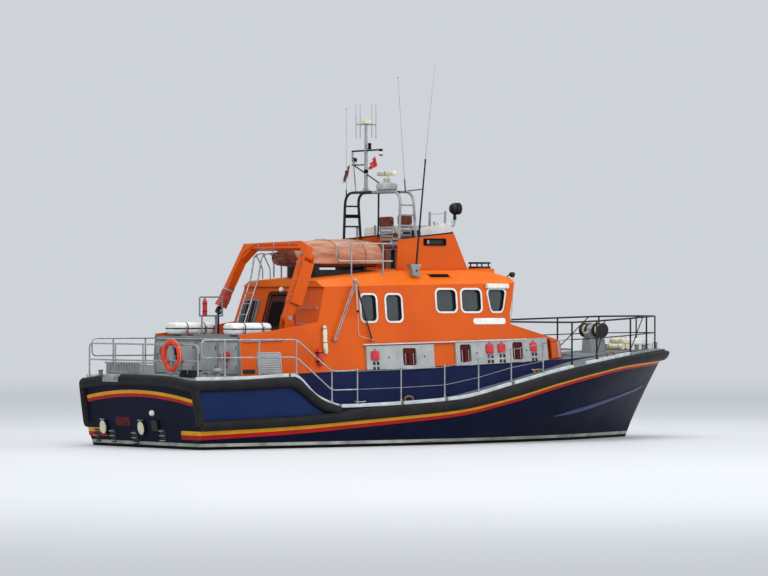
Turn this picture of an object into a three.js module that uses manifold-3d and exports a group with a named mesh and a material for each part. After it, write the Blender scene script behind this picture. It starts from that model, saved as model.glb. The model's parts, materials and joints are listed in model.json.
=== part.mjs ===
// All-weather lifeboat afloat, as separate sub-parts.
// Millimetres. +X to the bow, +Y to port, +Z up. The origin is on the centreline at half
// length, at the surface of the water.
import * as THREE from 'three';
import { mergeVertices } from 'three/addons/utils/BufferGeometryUtils.js';
import Module from 'manifold-3d';

const wasm = await Module();
wasm.setup();

// Driving dimensions
const GAP = 0.4; // left between pieces that rest on each other
const SIDES = [['starboard', -1], ['port', 1]];
const WALL = 60; // wheelhouse panel thickness
const SIDE_SLOPE = 0.105; // the house sides lean in by this much per unit of height
const SIDE_FOOT = { y: 2000, z: 2000 }; // where the leaning house side is measured from
const AFT_WALL = { x: -4000, z: 4040, rake: 0.303 }; // top edge of the raked aft wall
const CASING_AFT = -6700;
const CASING_TOP = 2780;
const FRONT_WALL = { x: 1880, kneeZ: 3350, topX: 2090, topZ: 4160 };
const BOW_LEAN = 1.15; // how hollow the stem is
const FENDER_DEPTH = 170;
const RAIL_R = 21; // guard-rail tube
const ROUND = 24; // sides of a pin and of its bore
const PLAY = 0.2; // a pin's play in its bore, corner to flat
const WIRE_R = 8; // guard-rail wire

// Hull sections from the transom to the stem, in half-breadths and heights
const SECTION_COLUMNS = ['keelX', 'sheerX', 'keelZ', 'bilgeY', 'bilgeZ', 'chineY', 'chineZ',
  'fenderY', 'fenderLow', 'fenderTop', 'sheerY', 'sheerZ', 'trunkY', 'trunkZ', 'crownZ'];
const SECTIONS = [
  [-8160, -8510, -520, 1750, -330, 2420, -20, 2570, 460, 720, 2550, 1720, 1900, 1770, 1850],
  [-7000, -7000, -680, 1800, -450, 2520, -10, 2670, 500, 760, 2630, 1730, 1990, 1780, 1850],
  [-5550, -5550, -820, 1850, -550, 2600, 0, 2730, 555, 815, 2670, 1790, 1990, 1835, 1870],
  [-4800, -4800, -870, 1870, -580, 2625, 5, 2745, 595, 860, 2710, 1230, 1990, 1860, 1900],
  [-4100, -4100, -900, 1880, -600, 2640, 10, 2765, 640, 900, 2745, 1000, 1990, 1880, 1920],
  [-2500, -2500, -970, 1900, -640, 2670, 50, 2790, 740, 1000, 2785, 1040, 1990, 1935, 1975],
  [-500, -500, -1000, 1850, -640, 2670, 180, 2780, 885, 1110, 2775, 1155, 1990, 2000, 2040],
  [1300, 1300, -1000, 1700, -580, 2600, 460, 2730, 1190, 1455, 2725, 1500, 1990, 2060, 2100],
  [3000, 3000, -980, 1420, -480, 2420, 740, 2570, 1550, 1800, 2560, 1840, 1790, 2110, 2150],
  [4300, 4300, -935, 1120, -400, 2030, 930, 2300, 1765, 1985, 2290, 2030, 1300, 2140, 2190],
  [5400, 5900, -870, 740, -270, 1400, 1180, 1750, 1950, 2160, 1745, 2205, 900, 2250, 2290],
  [6350, 7100, -740, 370, -60, 830, 1350, 1120, 2010, 2245, 1115, 2290, 560, 2325, 2350],
  [7000, 8000, -440, 140, 330, 330, 1440, 520, 2035, 2270, 515, 2325, 240, 2345, 2360],
  [7270, 8600, 60, 35, 800, 45, 1480, 60, 2040, 2275, 62, 2330, 30, 2345, 2355],
].map((row) => Object.fromEntries(SECTION_COLUMNS.map((name, i) => [name, row[i]])));

// Colours, roughness and metalness
const FINISH = {
  navy: [0x0f1a3c, 0.35, 0], orange: [0xd9571a, 0.4, 0], rubber: [0x121212, 0.8, 0],
  grey: [0x8b9296, 0.5, 0.2], white: [0xe8e6df, 0.5, 0],
  steel: [0x9ba0a3, 0.35, 0.8], black: [0x161616, 0.5, 0.3], glass: [0x1b242b, 0.1, 0],
  bronze: [0x9a7a3c, 0.35, 0.9], antifoul: [0x20242a, 0.8, 0], cover: [0xb98a74, 0.9, 0],
  ring: [0xe2431a, 0.6, 0], seat: [0x2b2d33, 0.8, 0], red: [0x8e2a22, 0.6, 0],
};
const material = Object.fromEntries(Object.entries(FINISH).map(([name, [color, roughness,
  metalness]]) => [name, new THREE.MeshStandardMaterial({ name, color, roughness, metalness })]));

const boat = new THREE.Group();
boat.name = 'lifeboat';
const v = (x, y, z) => new THREE.Vector3(x, y, z);
const mix = (a, b, t) => a + (b - a) * t;

// Solids from geometry, and back
function solid(geometry) {
  const bare = geometry.clone();
  bare.deleteAttribute('normal');
  bare.deleteAttribute('uv');
  const merged = mergeVertices(bare, 0.01);
  const index = Array.from(merged.index.array);
  const faces = [];
  for (let i = 0; i < index.length; i += 3) {
    const [a, b, c] = index.slice(i, i + 3);
    if (a !== b && b !== c && c !== a) faces.push(a, b, c);
  }
  return new wasm.Manifold(new wasm.Mesh({
    numProp: 3,
    vertProperties: new Float32Array(merged.attributes.position.array),
    triVerts: new Uint32Array(faces),
  }));
}

function add(name, body, finish) {
  const mesh = body.getMesh();
  const geometry = new THREE.BufferGeometry();
  geometry.setAttribute('position', new THREE.BufferAttribute(mesh.vertProperties, 3));
  geometry.setIndex(new THREE.BufferAttribute(mesh.triVerts, 1));
  geometry.computeVertexNormals();
  const piece = new THREE.Mesh(geometry, material[finish]);
  piece.name = name;
  boat.add(piece);
  return body;
}

const join = (bodies) => bodies.reduce((all, one) => all.add(one));

// A body grown by a hair every way, to cut its neighbours clear of it
function grown(body, by = GAP) {
  const shifts = [[by, 0, 0], [-by, 0, 0], [0, by, 0], [0, -by, 0], [0, 0, by], [0, 0, -by]];
  return join([body, ...shifts.map((shift) => body.translate(shift))]);
}

// A triangulated end of a loft, wound as its ring is
function capFaces(ring) {
  const normal = v(0, 0, 0);
  ring.forEach((p, i) => {
    const q = ring[(i + 1) % ring.length];
    normal.add(v((p.y - q.y) * (p.z + q.z), (p.z - q.z) * (p.x + q.x), (p.x - q.x) * (p.y + q.y)));
  });
  const size = [Math.abs(normal.x), Math.abs(normal.y), Math.abs(normal.z)];
  const drop = size.indexOf(Math.max(...size));
  const flat = ring.map((p) => {
    const uv = p.toArray().filter((_, axis) => axis !== drop);
    return new THREE.Vector2(uv[0], uv[1]);
  });
  const turn = Math.sign(THREE.ShapeUtils.area(flat));
  return THREE.ShapeUtils.triangulateShape(flat, []).map(([a, b, c]) => {
    const same = Math.sign(THREE.ShapeUtils.area([flat[a], flat[b], flat[c]])) === turn;
    return same ? [a, b, c] : [a, c, b];
  });
}

// A solid through rings that have the same number of points
function loft(rings) {
  const count = rings[0].length;
  const points = rings.flat();
  let faces = [];
  for (let i = 0; i + 1 < rings.length; i += 1) {
    for (let j = 0; j < count; j += 1) {
      const a = i * count + j;
      const b = i * count + ((j + 1) % count);
      faces.push([a, b, b + count], [a, b + count, a + count]);
    }
  }
  const last = (rings.length - 1) * count;
  capFaces(rings[0]).forEach(([a, b, c]) => faces.push([c, b, a]));
  capFaces(rings[rings.length - 1]).forEach(([a, b, c]) => faces.push([a + last, b + last, c + last]));
  const volume = faces.reduce((sum, [a, b, c]) => (
    sum + points[a].dot(points[b].clone().cross(points[c]))), 0);
  if (volume < 0) faces = faces.map(([a, b, c]) => [a, c, b]);
  const geometry = new THREE.BufferGeometry().setFromPoints(points);
  geometry.setIndex(faces.flat());
  return solid(geometry);
}

function circle(centre, axis, radius, sides) {
  const along = axis.clone().normalize();
  const across = Math.abs(along.z) < 0.9 ? v(0, 0, 1) : v(1, 0, 0);
  const u = across.cross(along).normalize();
  const w = along.clone().cross(u);
  return Array.from({ length: sides }, (_, i) => {
    const angle = ((i + 0.5) / sides) * 2 * Math.PI;
    return centre.clone().addScaledVector(u, radius * Math.cos(angle))
      .addScaledVector(w, radius * Math.sin(angle));
  });
}

// A section carried along a path, mitred where the path bends
function sweep(path, section) {
  let ring = section;
  const rings = [ring];
  for (let i = 1; i < path.length; i += 1) {
    const leg = path[i].clone().sub(path[i - 1]).normalize();
    const next = path[Math.min(i + 1, path.length - 1)].clone().sub(path[i]).normalize();
    const normal = leg.clone().add(next);
    ring = ring.map((p) => p.clone().addScaledVector(
      leg, path[i].clone().sub(p).dot(normal) / leg.dot(normal)));
    rings.push(ring);
  }
  return loft(rings);
}

function tube(path, radius, sides = 6) {
  return sweep(path, circle(path[0], path[1].clone().sub(path[0]), radius, sides));
}

// The bore that a round pin turns in
const boreOf = (r) => r / Math.cos(Math.PI / ROUND) + PLAY;

function box([x0, x1], [y0, y1], [z0, z1]) {
  const geometry = new THREE.BoxGeometry(x1 - x0, y1 - y0, z1 - z0);
  return solid(geometry.translate((x0 + x1) / 2, (y0 + y1) / 2, (z0 + z1) / 2));
}

const shapeOf = (outline) => new THREE.Shape(outline.map(([a, b]) => new THREE.Vector2(a, b)));

// An outline in X and Z, from y0 to y1
function slabXZ(outline, [y0, y1], curveSegments = 3) {
  const shape = outline instanceof THREE.Shape ? outline : shapeOf(outline);
  const geometry = new THREE.ExtrudeGeometry(shape,
    { depth: y1 - y0, bevelEnabled: false, curveSegments });
  return solid(geometry.rotateX(Math.PI / 2).translate(0, y1, 0));
}

// An outline in Y and Z, from x0 to x1
function slabYZ(outline, [x0, x1], curveSegments = 3) {
  const shape = outline instanceof THREE.Shape ? outline : shapeOf(outline);
  const geometry = new THREE.ExtrudeGeometry(shape,
    { depth: x1 - x0, bevelEnabled: false, curveSegments });
  const turn = new THREE.Matrix4().set(0, 0, 1, x0, 1, 0, 0, 0, 0, 1, 0, 0, 0, 0, 0, 1);
  return solid(geometry.applyMatrix4(turn));
}

// A rectangle with round corners
function rounded([a0, a1], [b0, b1], r) {
  const shape = new THREE.Shape();
  shape.moveTo(a0 + r, b0);
  shape.lineTo(a1 - r, b0);
  shape.absarc(a1 - r, b0 + r, r, -Math.PI / 2, 0);
  shape.absarc(a1 - r, b1 - r, r, 0, Math.PI / 2);
  shape.absarc(a0 + r, b1 - r, r, Math.PI / 2, Math.PI);
  shape.absarc(a0 + r, b0 + r, r, Math.PI, 1.5 * Math.PI);
  return shape;
}

// A house side: leaned in as it rises, by a shear of Y with Z
function lean(body, side) {
  return body.warp((p) => {
    p[1] -= side * SIDE_SLOPE * (p[2] - SIDE_FOOT.z);
  });
}
const sideY = (z) => SIDE_FOOT.y - SIDE_SLOPE * (z - SIDE_FOOT.z);
const aftWallX = (z) => AFT_WALL.x - AFT_WALL.rake * (AFT_WALL.z - z);

// Hull
function hullPoint(section, side, y, z) {
  const rise = (z - section.keelZ) / (section.sheerZ - section.keelZ);
  const power = section.sheerX > section.keelX ? BOW_LEAN : 1;
  const x = mix(section.keelX, section.sheerX, Math.max(rise, 0) ** power);
  return v(x, side * y, z);
}

// The edge of the deck at a station
function sheerAt(x) {
  const i = Math.min(Math.max(1, SECTIONS.findIndex((s) => s.sheerX >= x)), SECTIONS.length - 1);
  const a = SECTIONS[i - 1];
  const b = SECTIONS[i];
  const t = (x - a.sheerX) / (b.sheerX - a.sheerX);
  return { y: mix(a.sheerY, b.sheerY, t), z: mix(a.sheerZ, b.sheerZ, t) };
}

const deckInnerZ = (s) => s.sheerZ + 0.04 * (s.sheerY - s.trunkY);

function hullRing(s) {
  const half = (side) => [
    hullPoint(s, side, s.bilgeY, s.bilgeZ),
    hullPoint(s, side, s.chineY, s.chineZ),
    hullPoint(s, side, s.fenderY, s.fenderLow),
    hullPoint(s, side, s.fenderY + 4, s.fenderTop),
    hullPoint(s, side, s.sheerY, s.sheerZ),
    hullPoint(s, side, s.trunkY + 0.02 * s.sheerY, Math.min(deckInnerZ(s), s.trunkZ - 6)),
    hullPoint(s, side, s.trunkY, s.trunkZ),
  ];
  return [hullPoint(s, 1, 0, s.keelZ), ...half(-1), hullPoint(s, 1, 0, s.crownZ), ...half(1).reverse()];
}

const SHAFT = { x: -6050, y: 1150, z: -1020, tilt: 6 * (Math.PI / 180), r: 45 };
const shaftAxis = v(Math.cos(SHAFT.tilt), 0, Math.sin(SHAFT.tilt));
const onShaft = (side, s) => v(SHAFT.x, side * SHAFT.y, SHAFT.z).addScaledVector(shaftAxis, s);
const RUDDER = { x: -7000, y: 1150, stockR: 48, top: -640, bottom: -1450, boreTop: -360 };
const HATCH = { x: [4560, 5160], y: 300, z: 2345 };

function tunnel(side) {
  return tube([v(-5350, side * SHAFT.y, -985), v(-8900, side * SHAFT.y, -985)], 520, 20);
}

function rudderBore(side) {
  return tube([v(RUDDER.x, side * RUDDER.y, -900), v(RUDDER.x, side * RUDDER.y, RUDDER.boreTop)],
    boreOf(RUDDER.stockR), ROUND);
}

const hull = join([
  SIDES.reduce((body, [, side]) => body.subtract(tunnel(side)).subtract(rudderBore(side)),
    loft(SECTIONS.map(hullRing))),
  box(HATCH.x, [-HATCH.y, HATCH.y], [2150, HATCH.z]),
]);
add('hull', hull, 'navy');
const hullClear = hull.scale([1.0001, 1.0002, 1.0004]);

// Everything below the house: the raised middle of the deck, carried out level on both sides
const deckLine = loft(SECTIONS.slice(0, -3).map((s) => [[-2400, 0], [-2400, s.trunkZ], [-s.trunkY, s.trunkZ],
  [0, s.crownZ], [s.trunkY, s.trunkZ], [2400, s.trunkZ], [2400, 0]]
  .map(([y, z]) => v(s.sheerX, y, z + (z > 0 ? GAP : 0)))));

// Keel and bilge keels, on which the boat takes the ground
const KEEL_FOOT = -1700;
const keel = slabXZ([[-6500, -500], [-6500, -900], [-6350, KEEL_FOOT], [2300, KEEL_FOOT],
  [5100, -700], [5100, -500]], [-90, 90]);
add('keel', keel.subtract(hullClear), 'antifoul');

function bilgeKeel(side) {
  const blade = slabXZ([[-5500, -450], [-5500, -1130], [-5350, KEEL_FOOT], [500, KEEL_FOOT],
    [2300, -500], [2300, -350]], [side * SHAFT.y - 75, side * SHAFT.y + 75]);
  const boss = tube([onShaft(side, 330), onShaft(side, 1300)], 125, 12);
  const bore = tube([onShaft(side, 300), onShaft(side, 800)], boreOf(SHAFT.r), ROUND);
  return blade.add(boss).subtract(bore).subtract(hullClear);
}
SIDES.forEach(([name, side]) => add(`bilge_keel_${name}`, bilgeKeel(side), 'antifoul'));

// Propellers: a hub with its shaft, and five blades that twist from root to tip
const PROP_R = 475;
const BLADES = 5;
const BLADE_COLUMNS = ['radius', 'chord', 'pitch', 'thick'];
const BLADE_SECTIONS = [[70, 200, 60, 44], [220, 330, 40, 32], [370, 340, 27, 20], [PROP_R, 150, 21, 10]]
  .map((row) => Object.fromEntries(BLADE_COLUMNS.map((name, i) => [name, row[i]])));

function starboardPropeller() {
  const place = new THREE.Matrix4().makeBasis(shaftAxis, v(0, 1, 0),
    shaftAxis.clone().cross(v(0, 1, 0))).setPosition(onShaft(-1, 0));
  const hub = tube([v(-290, 0, 0), v(-150, 0, 0)], 95, 12)
    .add(tube([v(-151, 0, 0), v(190, 0, 0)], 100, 12))
    .add(tube([v(180, 0, 0), v(690, 0, 0)], SHAFT.r, ROUND));
  const lens = [[-0.5, 0], [-0.1, 0.5], [0.5, 0], [-0.1, -0.5]];
  const blade = loft(BLADE_SECTIONS.map(({ radius, chord, pitch, thick }) => {
    const angle = -pitch * (Math.PI / 180);
    return lens.map(([c, t]) => v(
      c * chord * Math.sin(angle) + t * thick * Math.cos(angle),
      c * chord * Math.cos(angle) - t * thick * Math.sin(angle), radius));
  }));
  const blades = Array.from({ length: BLADES }, (_, i) => blade.rotate([(360 * i) / BLADES, 0, 0]));
  return join([hub, ...blades]).transform([...place.elements]);
}
add('propeller_starboard', starboardPropeller(), 'bronze');
add('propeller_port', starboardPropeller().mirror([0, 1, 0]), 'bronze');

// Rudders, hung on stocks behind the propellers
function rudder(side) {
  const blade = loft([[RUDDER.bottom, -400], [RUDDER.top, -470]].map(([z, aft]) => (
    [[190, 0], [40, 42], [aft, 8], [aft, -8], [40, -42]].map(([x, y]) => (
      v(RUDDER.x + x, side * RUDDER.y + y, z))))));
  const stock = tube([v(RUDDER.x, side * RUDDER.y, RUDDER.top - 300),
    v(RUDDER.x, side * RUDDER.y, RUDDER.boreTop - 20)], RUDDER.stockR, ROUND);
  return blade.add(stock);
}
SIDES.forEach(([name, side]) => add(`rudder_${name}`, rudder(side), 'bronze'));

// Fender belt: from one corner of the stern round the bow to the other
const beltPath = [
  ...SECTIONS.map((s) => [s, -1]),
  ...SECTIONS.map((s) => [s, 1]).reverse(),
].map(([s, side]) => ({
  low: hullPoint(s, side, s.fenderY, s.fenderLow),
  top: hullPoint(s, side, s.fenderY + 4, s.fenderTop),
}));

function beltRing(i) {
  const { low, top } = beltPath[i];
  const before = beltPath[Math.max(i - 1, 0)].low;
  const after = beltPath[Math.min(i + 1, beltPath.length - 1)].low;
  const out = v(after.y - before.y, before.x - after.x, 0).normalize();
  const at = (height, reach) => low.clone().lerp(top, height).addScaledVector(out, reach);
  return [at(0, -20), at(0.12, 0.75 * FENDER_DEPTH), at(0.5, FENDER_DEPTH),
    at(0.88, 0.75 * FENDER_DEPTH), at(1, -20)];
}
const belt = add('fender_belt', loft(beltPath.map((_, i) => beltRing(i))).subtract(hullClear), 'rubber');

// Quarter fender: up from the belt, aft along the raised quarter, and across the stern
const QUARTER_COLUMNS = ['x', 'y', 'z'];
const QUARTER = [[-4250, 2755, 905], [-4800, 2725, 1085], [-5200, 2700, 1370], [-5550, 2680, 1600],
  [-5900, 2670, 1645], [-7000, 2640, 1600], [-8300, 2565, 1575], [-8450, 2500, 1580],
  [-8500, 2350, 1590], [-8505, 1300, 1680]].map((row) => (
  Object.fromEntries(QUARTER_COLUMNS.map((name, i) => [name, row[i]]))));

function quarterFender() {
  const path = [
    ...QUARTER.map(({ x, y, z }) => v(x, -y, z)), v(-8505, 0, 1705),
    ...QUARTER.map(({ x, y, z }) => v(x, y, z)).reverse(),
  ];
  const corner = (side) => tube([v(-8315, side * 2585, 600), v(-8470, side * 2545, 1560)], 115, 8);
  return join([tube(path, 140, 8), corner(-1), corner(1)])
    .subtract(hullClear).subtract(grown(belt));
}
const quarter = add('fender_quarter', quarterFender(), 'rubber');

// Toe rails along the deck edges
const TOE = { inset: 28, width: 75, height: 85 };
function toeRail(side) {
  const rings = SECTIONS.map((s, i) => {
    const inset = Math.min(TOE.inset, 0.4 * s.sheerY);
    const width = Math.min(TOE.width, 0.5 * s.sheerY);
    const shiftX = i === 0 ? 90 : 0;
    const corners = [[inset, -40], [inset, TOE.height], [inset + width, TOE.height], [inset + width, -40]];
    return corners.map(([dy, dz]) => {
      const p = hullPoint(s, side, s.sheerY, s.sheerZ);
      return v(p.x + shiftX, side * (s.sheerY - dy), s.sheerZ + dz);
    });
  }).slice(0, -1);
  return loft(rings).subtract(hullClear).subtract(grown(quarter));
}
const toeRails = join(SIDES.map(([name, side]) => add(`toe_rail_${name}`, toeRail(side), 'white')));
const postY = (x) => sheerAt(x).y - TOE.inset - TOE.width / 2;
const postFoot = (x) => sheerAt(x).z + TOE.height - 30;

// Aft casing: a closed block with raised wings and a companion well down to the aft door
const DOOR = { y: [-385, 515], z: [2200, 3850], thick: 45 };
const WELL = { x: -5750, y: [-450, 640], floor: 2150 };

function aftCasing() {
  const profile = [[CASING_AFT, 1600], [aftWallX(1600) - GAP, 1600],
    [aftWallX(CASING_TOP) - GAP, CASING_TOP], [CASING_AFT, CASING_TOP]];
  const block = slabXZ(profile, [-2300, 2300])
    .intersect(slabYZ([[-sideY(1600), 1600], [sideY(1600), 1600], [sideY(3300), 3300],
      [-sideY(3300), 3300]], [-7000, -3500]));
  const wing = (side) => lean(slabXZ([[CASING_AFT, 2700], [aftWallX(2700) - GAP, 2700],
    [aftWallX(3150) - GAP, 3150], [-5710, 2930], [CASING_AFT, 2840]],
  side < 0 ? [-2000, -2000 + WALL] : [2000 - WALL, 2000]), side);
  const well = box([WELL.x, -3900], WELL.y, [WELL.floor, 3300]);
  return join([block, wing(-1), wing(1)]).subtract(well).subtract(deckLine);
}
const casing = add('aft_casing', aftCasing(), 'orange');

// Roof line of the wheelhouse
const creaseAt = (x) => mix(4040, 4140, (x + 4060) / 6190);
const ROOF_COLUMNS = ['x', 'edgeY', 'edgeZ', 'crownZ', 'skin', 'creaseZ'];
const ROOF = [[-4060, 1500, 4190, 4240, 0], [-3880, 1485, 4208, 4258, 0],
  [-3600, 1455, 4236, 4286, 1], [-1250, 1350, 4460, 4510, 1],
  [900, 1350, 4480, 4530, 1], [1600, 1400, 4430, 4475, 1],
  [1960, 1455, 4335, 4377, 0], [2130, 1480, 4290, 4330, 0]]
  .map((row) => [...row, creaseAt(row[0])])
  .map((row) => Object.fromEntries(ROOF_COLUMNS.map((name, i) => [name, row[i]])));

// The space between the two house sides
function between(inset, low, high) {
  return [[-sideY(low) + inset, low], [sideY(low) - inset, low],
    [sideY(high) - inset, high], [-sideY(high) + inset, high]];
}

function roofShell() {
  const rings = ROOF.map(({ x, creaseZ, edgeY, edgeZ, crownZ, skin }) => {
    const outY = sideY(creaseZ);
    const outer = [[-outY, creaseZ + GAP], [-edgeY, edgeZ], [0, crownZ], [edgeY, edgeZ],
      [outY, creaseZ + GAP]];
    const inner = [[outY - WALL, creaseZ + GAP + 1], [edgeY - WALL, skin ? edgeZ - WALL : creaseZ + 4],
      [0, skin ? crownZ - WALL : creaseZ + 8], [-edgeY + WALL, skin ? edgeZ - WALL : creaseZ + 4],
      [-outY + WALL, creaseZ + GAP + 1]];
    return [...outer, ...inner].map(([y, z]) => v(x, y, z));
  });
  return loft(rings);
}
const roof = roofShell();
const houseTop = loft(ROOF.map(({ x, creaseZ, edgeY, edgeZ, crownZ }) => (
  [[-sideY(creaseZ), creaseZ], [-edgeY, edgeZ], [0, crownZ], [edgeY, edgeZ], [sideY(creaseZ), creaseZ],
    [1200, 4030], [-1200, 4030]].map(([y, z]) => v(x, y, z)))));
const roofClear = houseTop.scale([1, 1.0003, 1]).translate([0, 0, GAP]);
add('wheelhouse_roof', roof, 'orange');

// House sides with their windows
const WINDOW_COLUMNS = ['x0', 'x1', 'z0', 'z1'];
const SIDE_WINDOWS = [[-2900, -2420, 3160, 3840], [-2110, -1620, 3160, 3840], [-490, 140, 3400, 3970],
  [320, 950, 3400, 3970], [1170, 1770, 3400, 3970]]
  .map((row) => Object.fromEntries(WINDOW_COLUMNS.map((name, i) => [name, row[i]])));
const WINDOW_R = 110;
const AFRAME = { x: [-3830, -2670], y: 2010, z: 2690, apexX: -3100, apexY: 1880, apexZ: 4160,
  r: 24, pinR: 12, ear: [50, 64] };

function houseSide(side) {
  const profile = [[aftWallX(1700), 1700], [aftWallX(creaseAt(AFT_WALL.x)), creaseAt(AFT_WALL.x)],
    [FRONT_WALL.topX, creaseAt(FRONT_WALL.topX)], [FRONT_WALL.x, FRONT_WALL.kneeZ], [FRONT_WALL.x, 1700]];
  const panel = slabXZ(profile, side < 0 ? [-2000, -2000 + WALL] : [2000 - WALL, 2000]);
  const cut = SIDE_WINDOWS.reduce((body, { x0, x1, z0, z1 }) => (
    body.subtract(slabXZ(rounded([x0, x1], [z0, z1], WINDOW_R), [-2300, 2300]))), panel);
  const wall = lean(cut, side);
  const [near, far] = AFRAME.ear;
  const earY = side < 0 ? [-AFRAME.y - 25, -1900] : [1900, AFRAME.y + 25];
  const earZ = [AFRAME.z - 25, AFRAME.z + 25];
  const lugs = AFRAME.x.map((x) => join([
    box([x - far, x - near], earY, earZ),
    box([x + near, x + far], earY, earZ),
    tube([v(x - near - 4, side * AFRAME.y, AFRAME.z), v(x + near + 4, side * AFRAME.y, AFRAME.z)],
      AFRAME.pinR, ROUND),
  ]));
  return join([wall, ...lugs]).subtract(deckLine);
}
SIDES.forEach(([name, side]) => add(`wheelhouse_side_${name}`, houseSide(side), 'orange'));

// Front wall, bent forward at the windows
const FRONT_WINDOWS = [-1050, 0, 1050];
function frontWall() {
  const bend = [[FRONT_WALL.x - WALL, 1700], [FRONT_WALL.x, 1700], [FRONT_WALL.x, FRONT_WALL.kneeZ],
    [FRONT_WALL.topX, FRONT_WALL.topZ], [FRONT_WALL.topX - WALL, FRONT_WALL.topZ],
    [FRONT_WALL.x - WALL, FRONT_WALL.kneeZ]];
  const wall = slabXZ(bend, [-2200, 2200])
    .intersect(slabYZ(between(WALL + GAP, 1600, 4400), [1500, 2500]));
  return FRONT_WINDOWS.reduce((body, y) => (
    body.subtract(slabYZ(rounded([y - 420, y + 420], [3430, 3960], WINDOW_R), [1500, 2500]))), wall)
    .subtract(roof.translate([0, 0, -GAP])).subtract(deckLine);
}
const front = add('wheelhouse_front', frontWall(), 'orange');

// Aft wall, raked, with its doorway
function rakedSlab(yRange, [z0, z1], thick, proud = 0) {
  return slabXZ([[aftWallX(z0) - proud, z0], [aftWallX(z0) - proud + thick, z0],
    [aftWallX(z1) - proud + thick, z1], [aftWallX(z1) - proud, z1]], yRange);
}

function aftWall() {
  const wall = rakedSlab([-2200, 2200], [1700, AFT_WALL.z + 20], WALL)
    .intersect(slabYZ(between(WALL + GAP, 1600, 4400), [-5500, -3500]));
  const doorway = rakedSlab([DOOR.y[0], DOOR.y[1]], [DOOR.z[0], DOOR.z[1]], 400, 150);
  return wall.subtract(doorway).subtract(roof.translate([0, 0, -GAP])).subtract(deckLine);
}
add('wheelhouse_aft', aftWall(), 'orange');

const DOOR_PLAY = 6;
const DOOR_HEAD_PLAY = 20; // more at the top, as the leaning hinge lifts the opening door
add('wheelhouse_door', rakedSlab([DOOR.y[0] + DOOR_PLAY, DOOR.y[1] - GAP],
  [DOOR.z[0] + DOOR_PLAY, DOOR.z[1] - DOOR_HEAD_PLAY], DOOR.thick), 'grey');

// Glazing, one sheet inside each wall
const GLASS = 12;
function sideGlass(side) {
  const inner = 2000 - WALL - GAP;
  const sheet = slabXZ([[-3000, 3080], [1790, 3080], [1790, 4000], [-3000, 4000]],
    side < 0 ? [-inner, -inner + GLASS] : [inner - GLASS, inner]);
  return lean(sheet, side);
}
SIDES.forEach(([name, side]) => add(`window_glass_${name}`, sideGlass(side), 'glass'));

function frontGlass() {
  const slope = (FRONT_WALL.topX - FRONT_WALL.x) / (FRONT_WALL.topZ - FRONT_WALL.kneeZ);
  const x = (z) => FRONT_WALL.x - WALL - GAP + slope * (z - FRONT_WALL.kneeZ);
  return slabXZ([[x(3380) - GLASS, 3380], [x(3380), 3380], [x(4010), 4010], [x(4010) - GLASS, 4010]],
    [-1560, 1560]);
}
add('window_glass_front', frontGlass(), 'glass');

// Low forward part of the house
const TRUNK_COLUMNS = ['x', 'footY', 'topY', 'topZ', 'crownZ'];
const TRUNK = [[FRONT_WALL.x + GAP, 2000, 1888, 3070, 3110], [3090, 1840, 1700, 2790, 2830],
  [3850, 1500, 1350, 2650, 2690], [4080, 1290, 1180, 2590, 2620]]
  .map((row) => Object.fromEntries(TRUNK_COLUMNS.map((name, i) => [name, row[i]])));

function forwardTrunk() {
  return loft(TRUNK.map(({ x, footY, topY, topZ, crownZ }) => (
    [[-footY, 1900], [-topY, topZ], [0, crownZ], [topY, topZ], [footY, 1900]]
      .map(([y, z]) => v(x, y, z))))).subtract(deckLine);
}
add('forward_trunk', forwardTrunk(), 'orange');

// Helm console and crew seats, seen through the glass
add('helm_console', slabXZ([[1150, 1900], [1760, 1900], [1760, 3150], [1500, 3150], [1200, 2950],
  [1150, 2900]], [-1450, 1450]).subtract(deckLine), 'grey');

function crewSeat(x, y) {
  return join([
    box([x - 90, x + 90], [y - 90, y + 90], [1850, 2480]),
    box([x - 230, x + 250], [y - 240, y + 240], [2470, 2600]),
    slabXZ([[x - 230, 2500], [x - 120, 2500], [x - 210, 3380], [x - 310, 3380]], [y - 230, y + 230]),
  ]);
}
const SEAT_X = [400, -1500];
const SEAT_Y = 760;
const seatRails = join([box([-1700, 600], [-SEAT_Y - 30, -SEAT_Y + 30], [1850, 2160]),
  box([-1700, 600], [SEAT_Y - 30, SEAT_Y + 30], [1850, 2160]),
  box([340, 460], [-SEAT_Y, SEAT_Y], [1850, 2160])]);
add('crew_seats', join([seatRails, ...SEAT_X.flatMap((x) => [-1, 1].map((s) => crewSeat(x, s * SEAT_Y)))])
  .subtract(deckLine), 'seat');

// Flying bridge: a coaming open on top and aft
const BRIDGE = { foot: [-1330, 1000], top: [-1290, 505], footZ: 4400, topAftZ: 5260, topFwdZ: 5430,
  y: 1260, skin: 45 };

const coamingFrontX = (z) => mix(BRIDGE.foot[1], BRIDGE.top[1],
  (z - BRIDGE.footZ) / (BRIDGE.topFwdZ - BRIDGE.footZ));
const coamingTopAt = (x) => mix(BRIDGE.topAftZ, BRIDGE.topFwdZ,
  (x - BRIDGE.top[0]) / (BRIDGE.top[1] - BRIDGE.top[0]));

function bridgeCoaming() {
  const { foot, top, footZ, topAftZ, topFwdZ, y, skin } = BRIDGE;
  const spare = 300;
  const outer = slabXZ([[foot[0], footZ], [foot[1], footZ], [top[1], topFwdZ], [top[0], topAftZ]], [-y, y]);
  const inner = slabXZ([[foot[0] - spare, footZ - spare],
    [coamingFrontX(footZ - spare) - skin, footZ - spare],
    [coamingFrontX(topFwdZ + spare) - skin, topFwdZ + spare], [foot[0] - spare, topFwdZ + spare]],
  [-y + skin, y - skin]);
  return outer.subtract(inner).subtract(roofClear);
}
const coaming = add('flybridge_coaming', bridgeCoaming(), 'orange');

add('flybridge_console', slabXZ([[-150, 4400], [420, 4400], [300, 5330], [50, 5330], [-150, 5050]],
  [-850, 850]).subtract(roofClear), 'grey');

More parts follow.
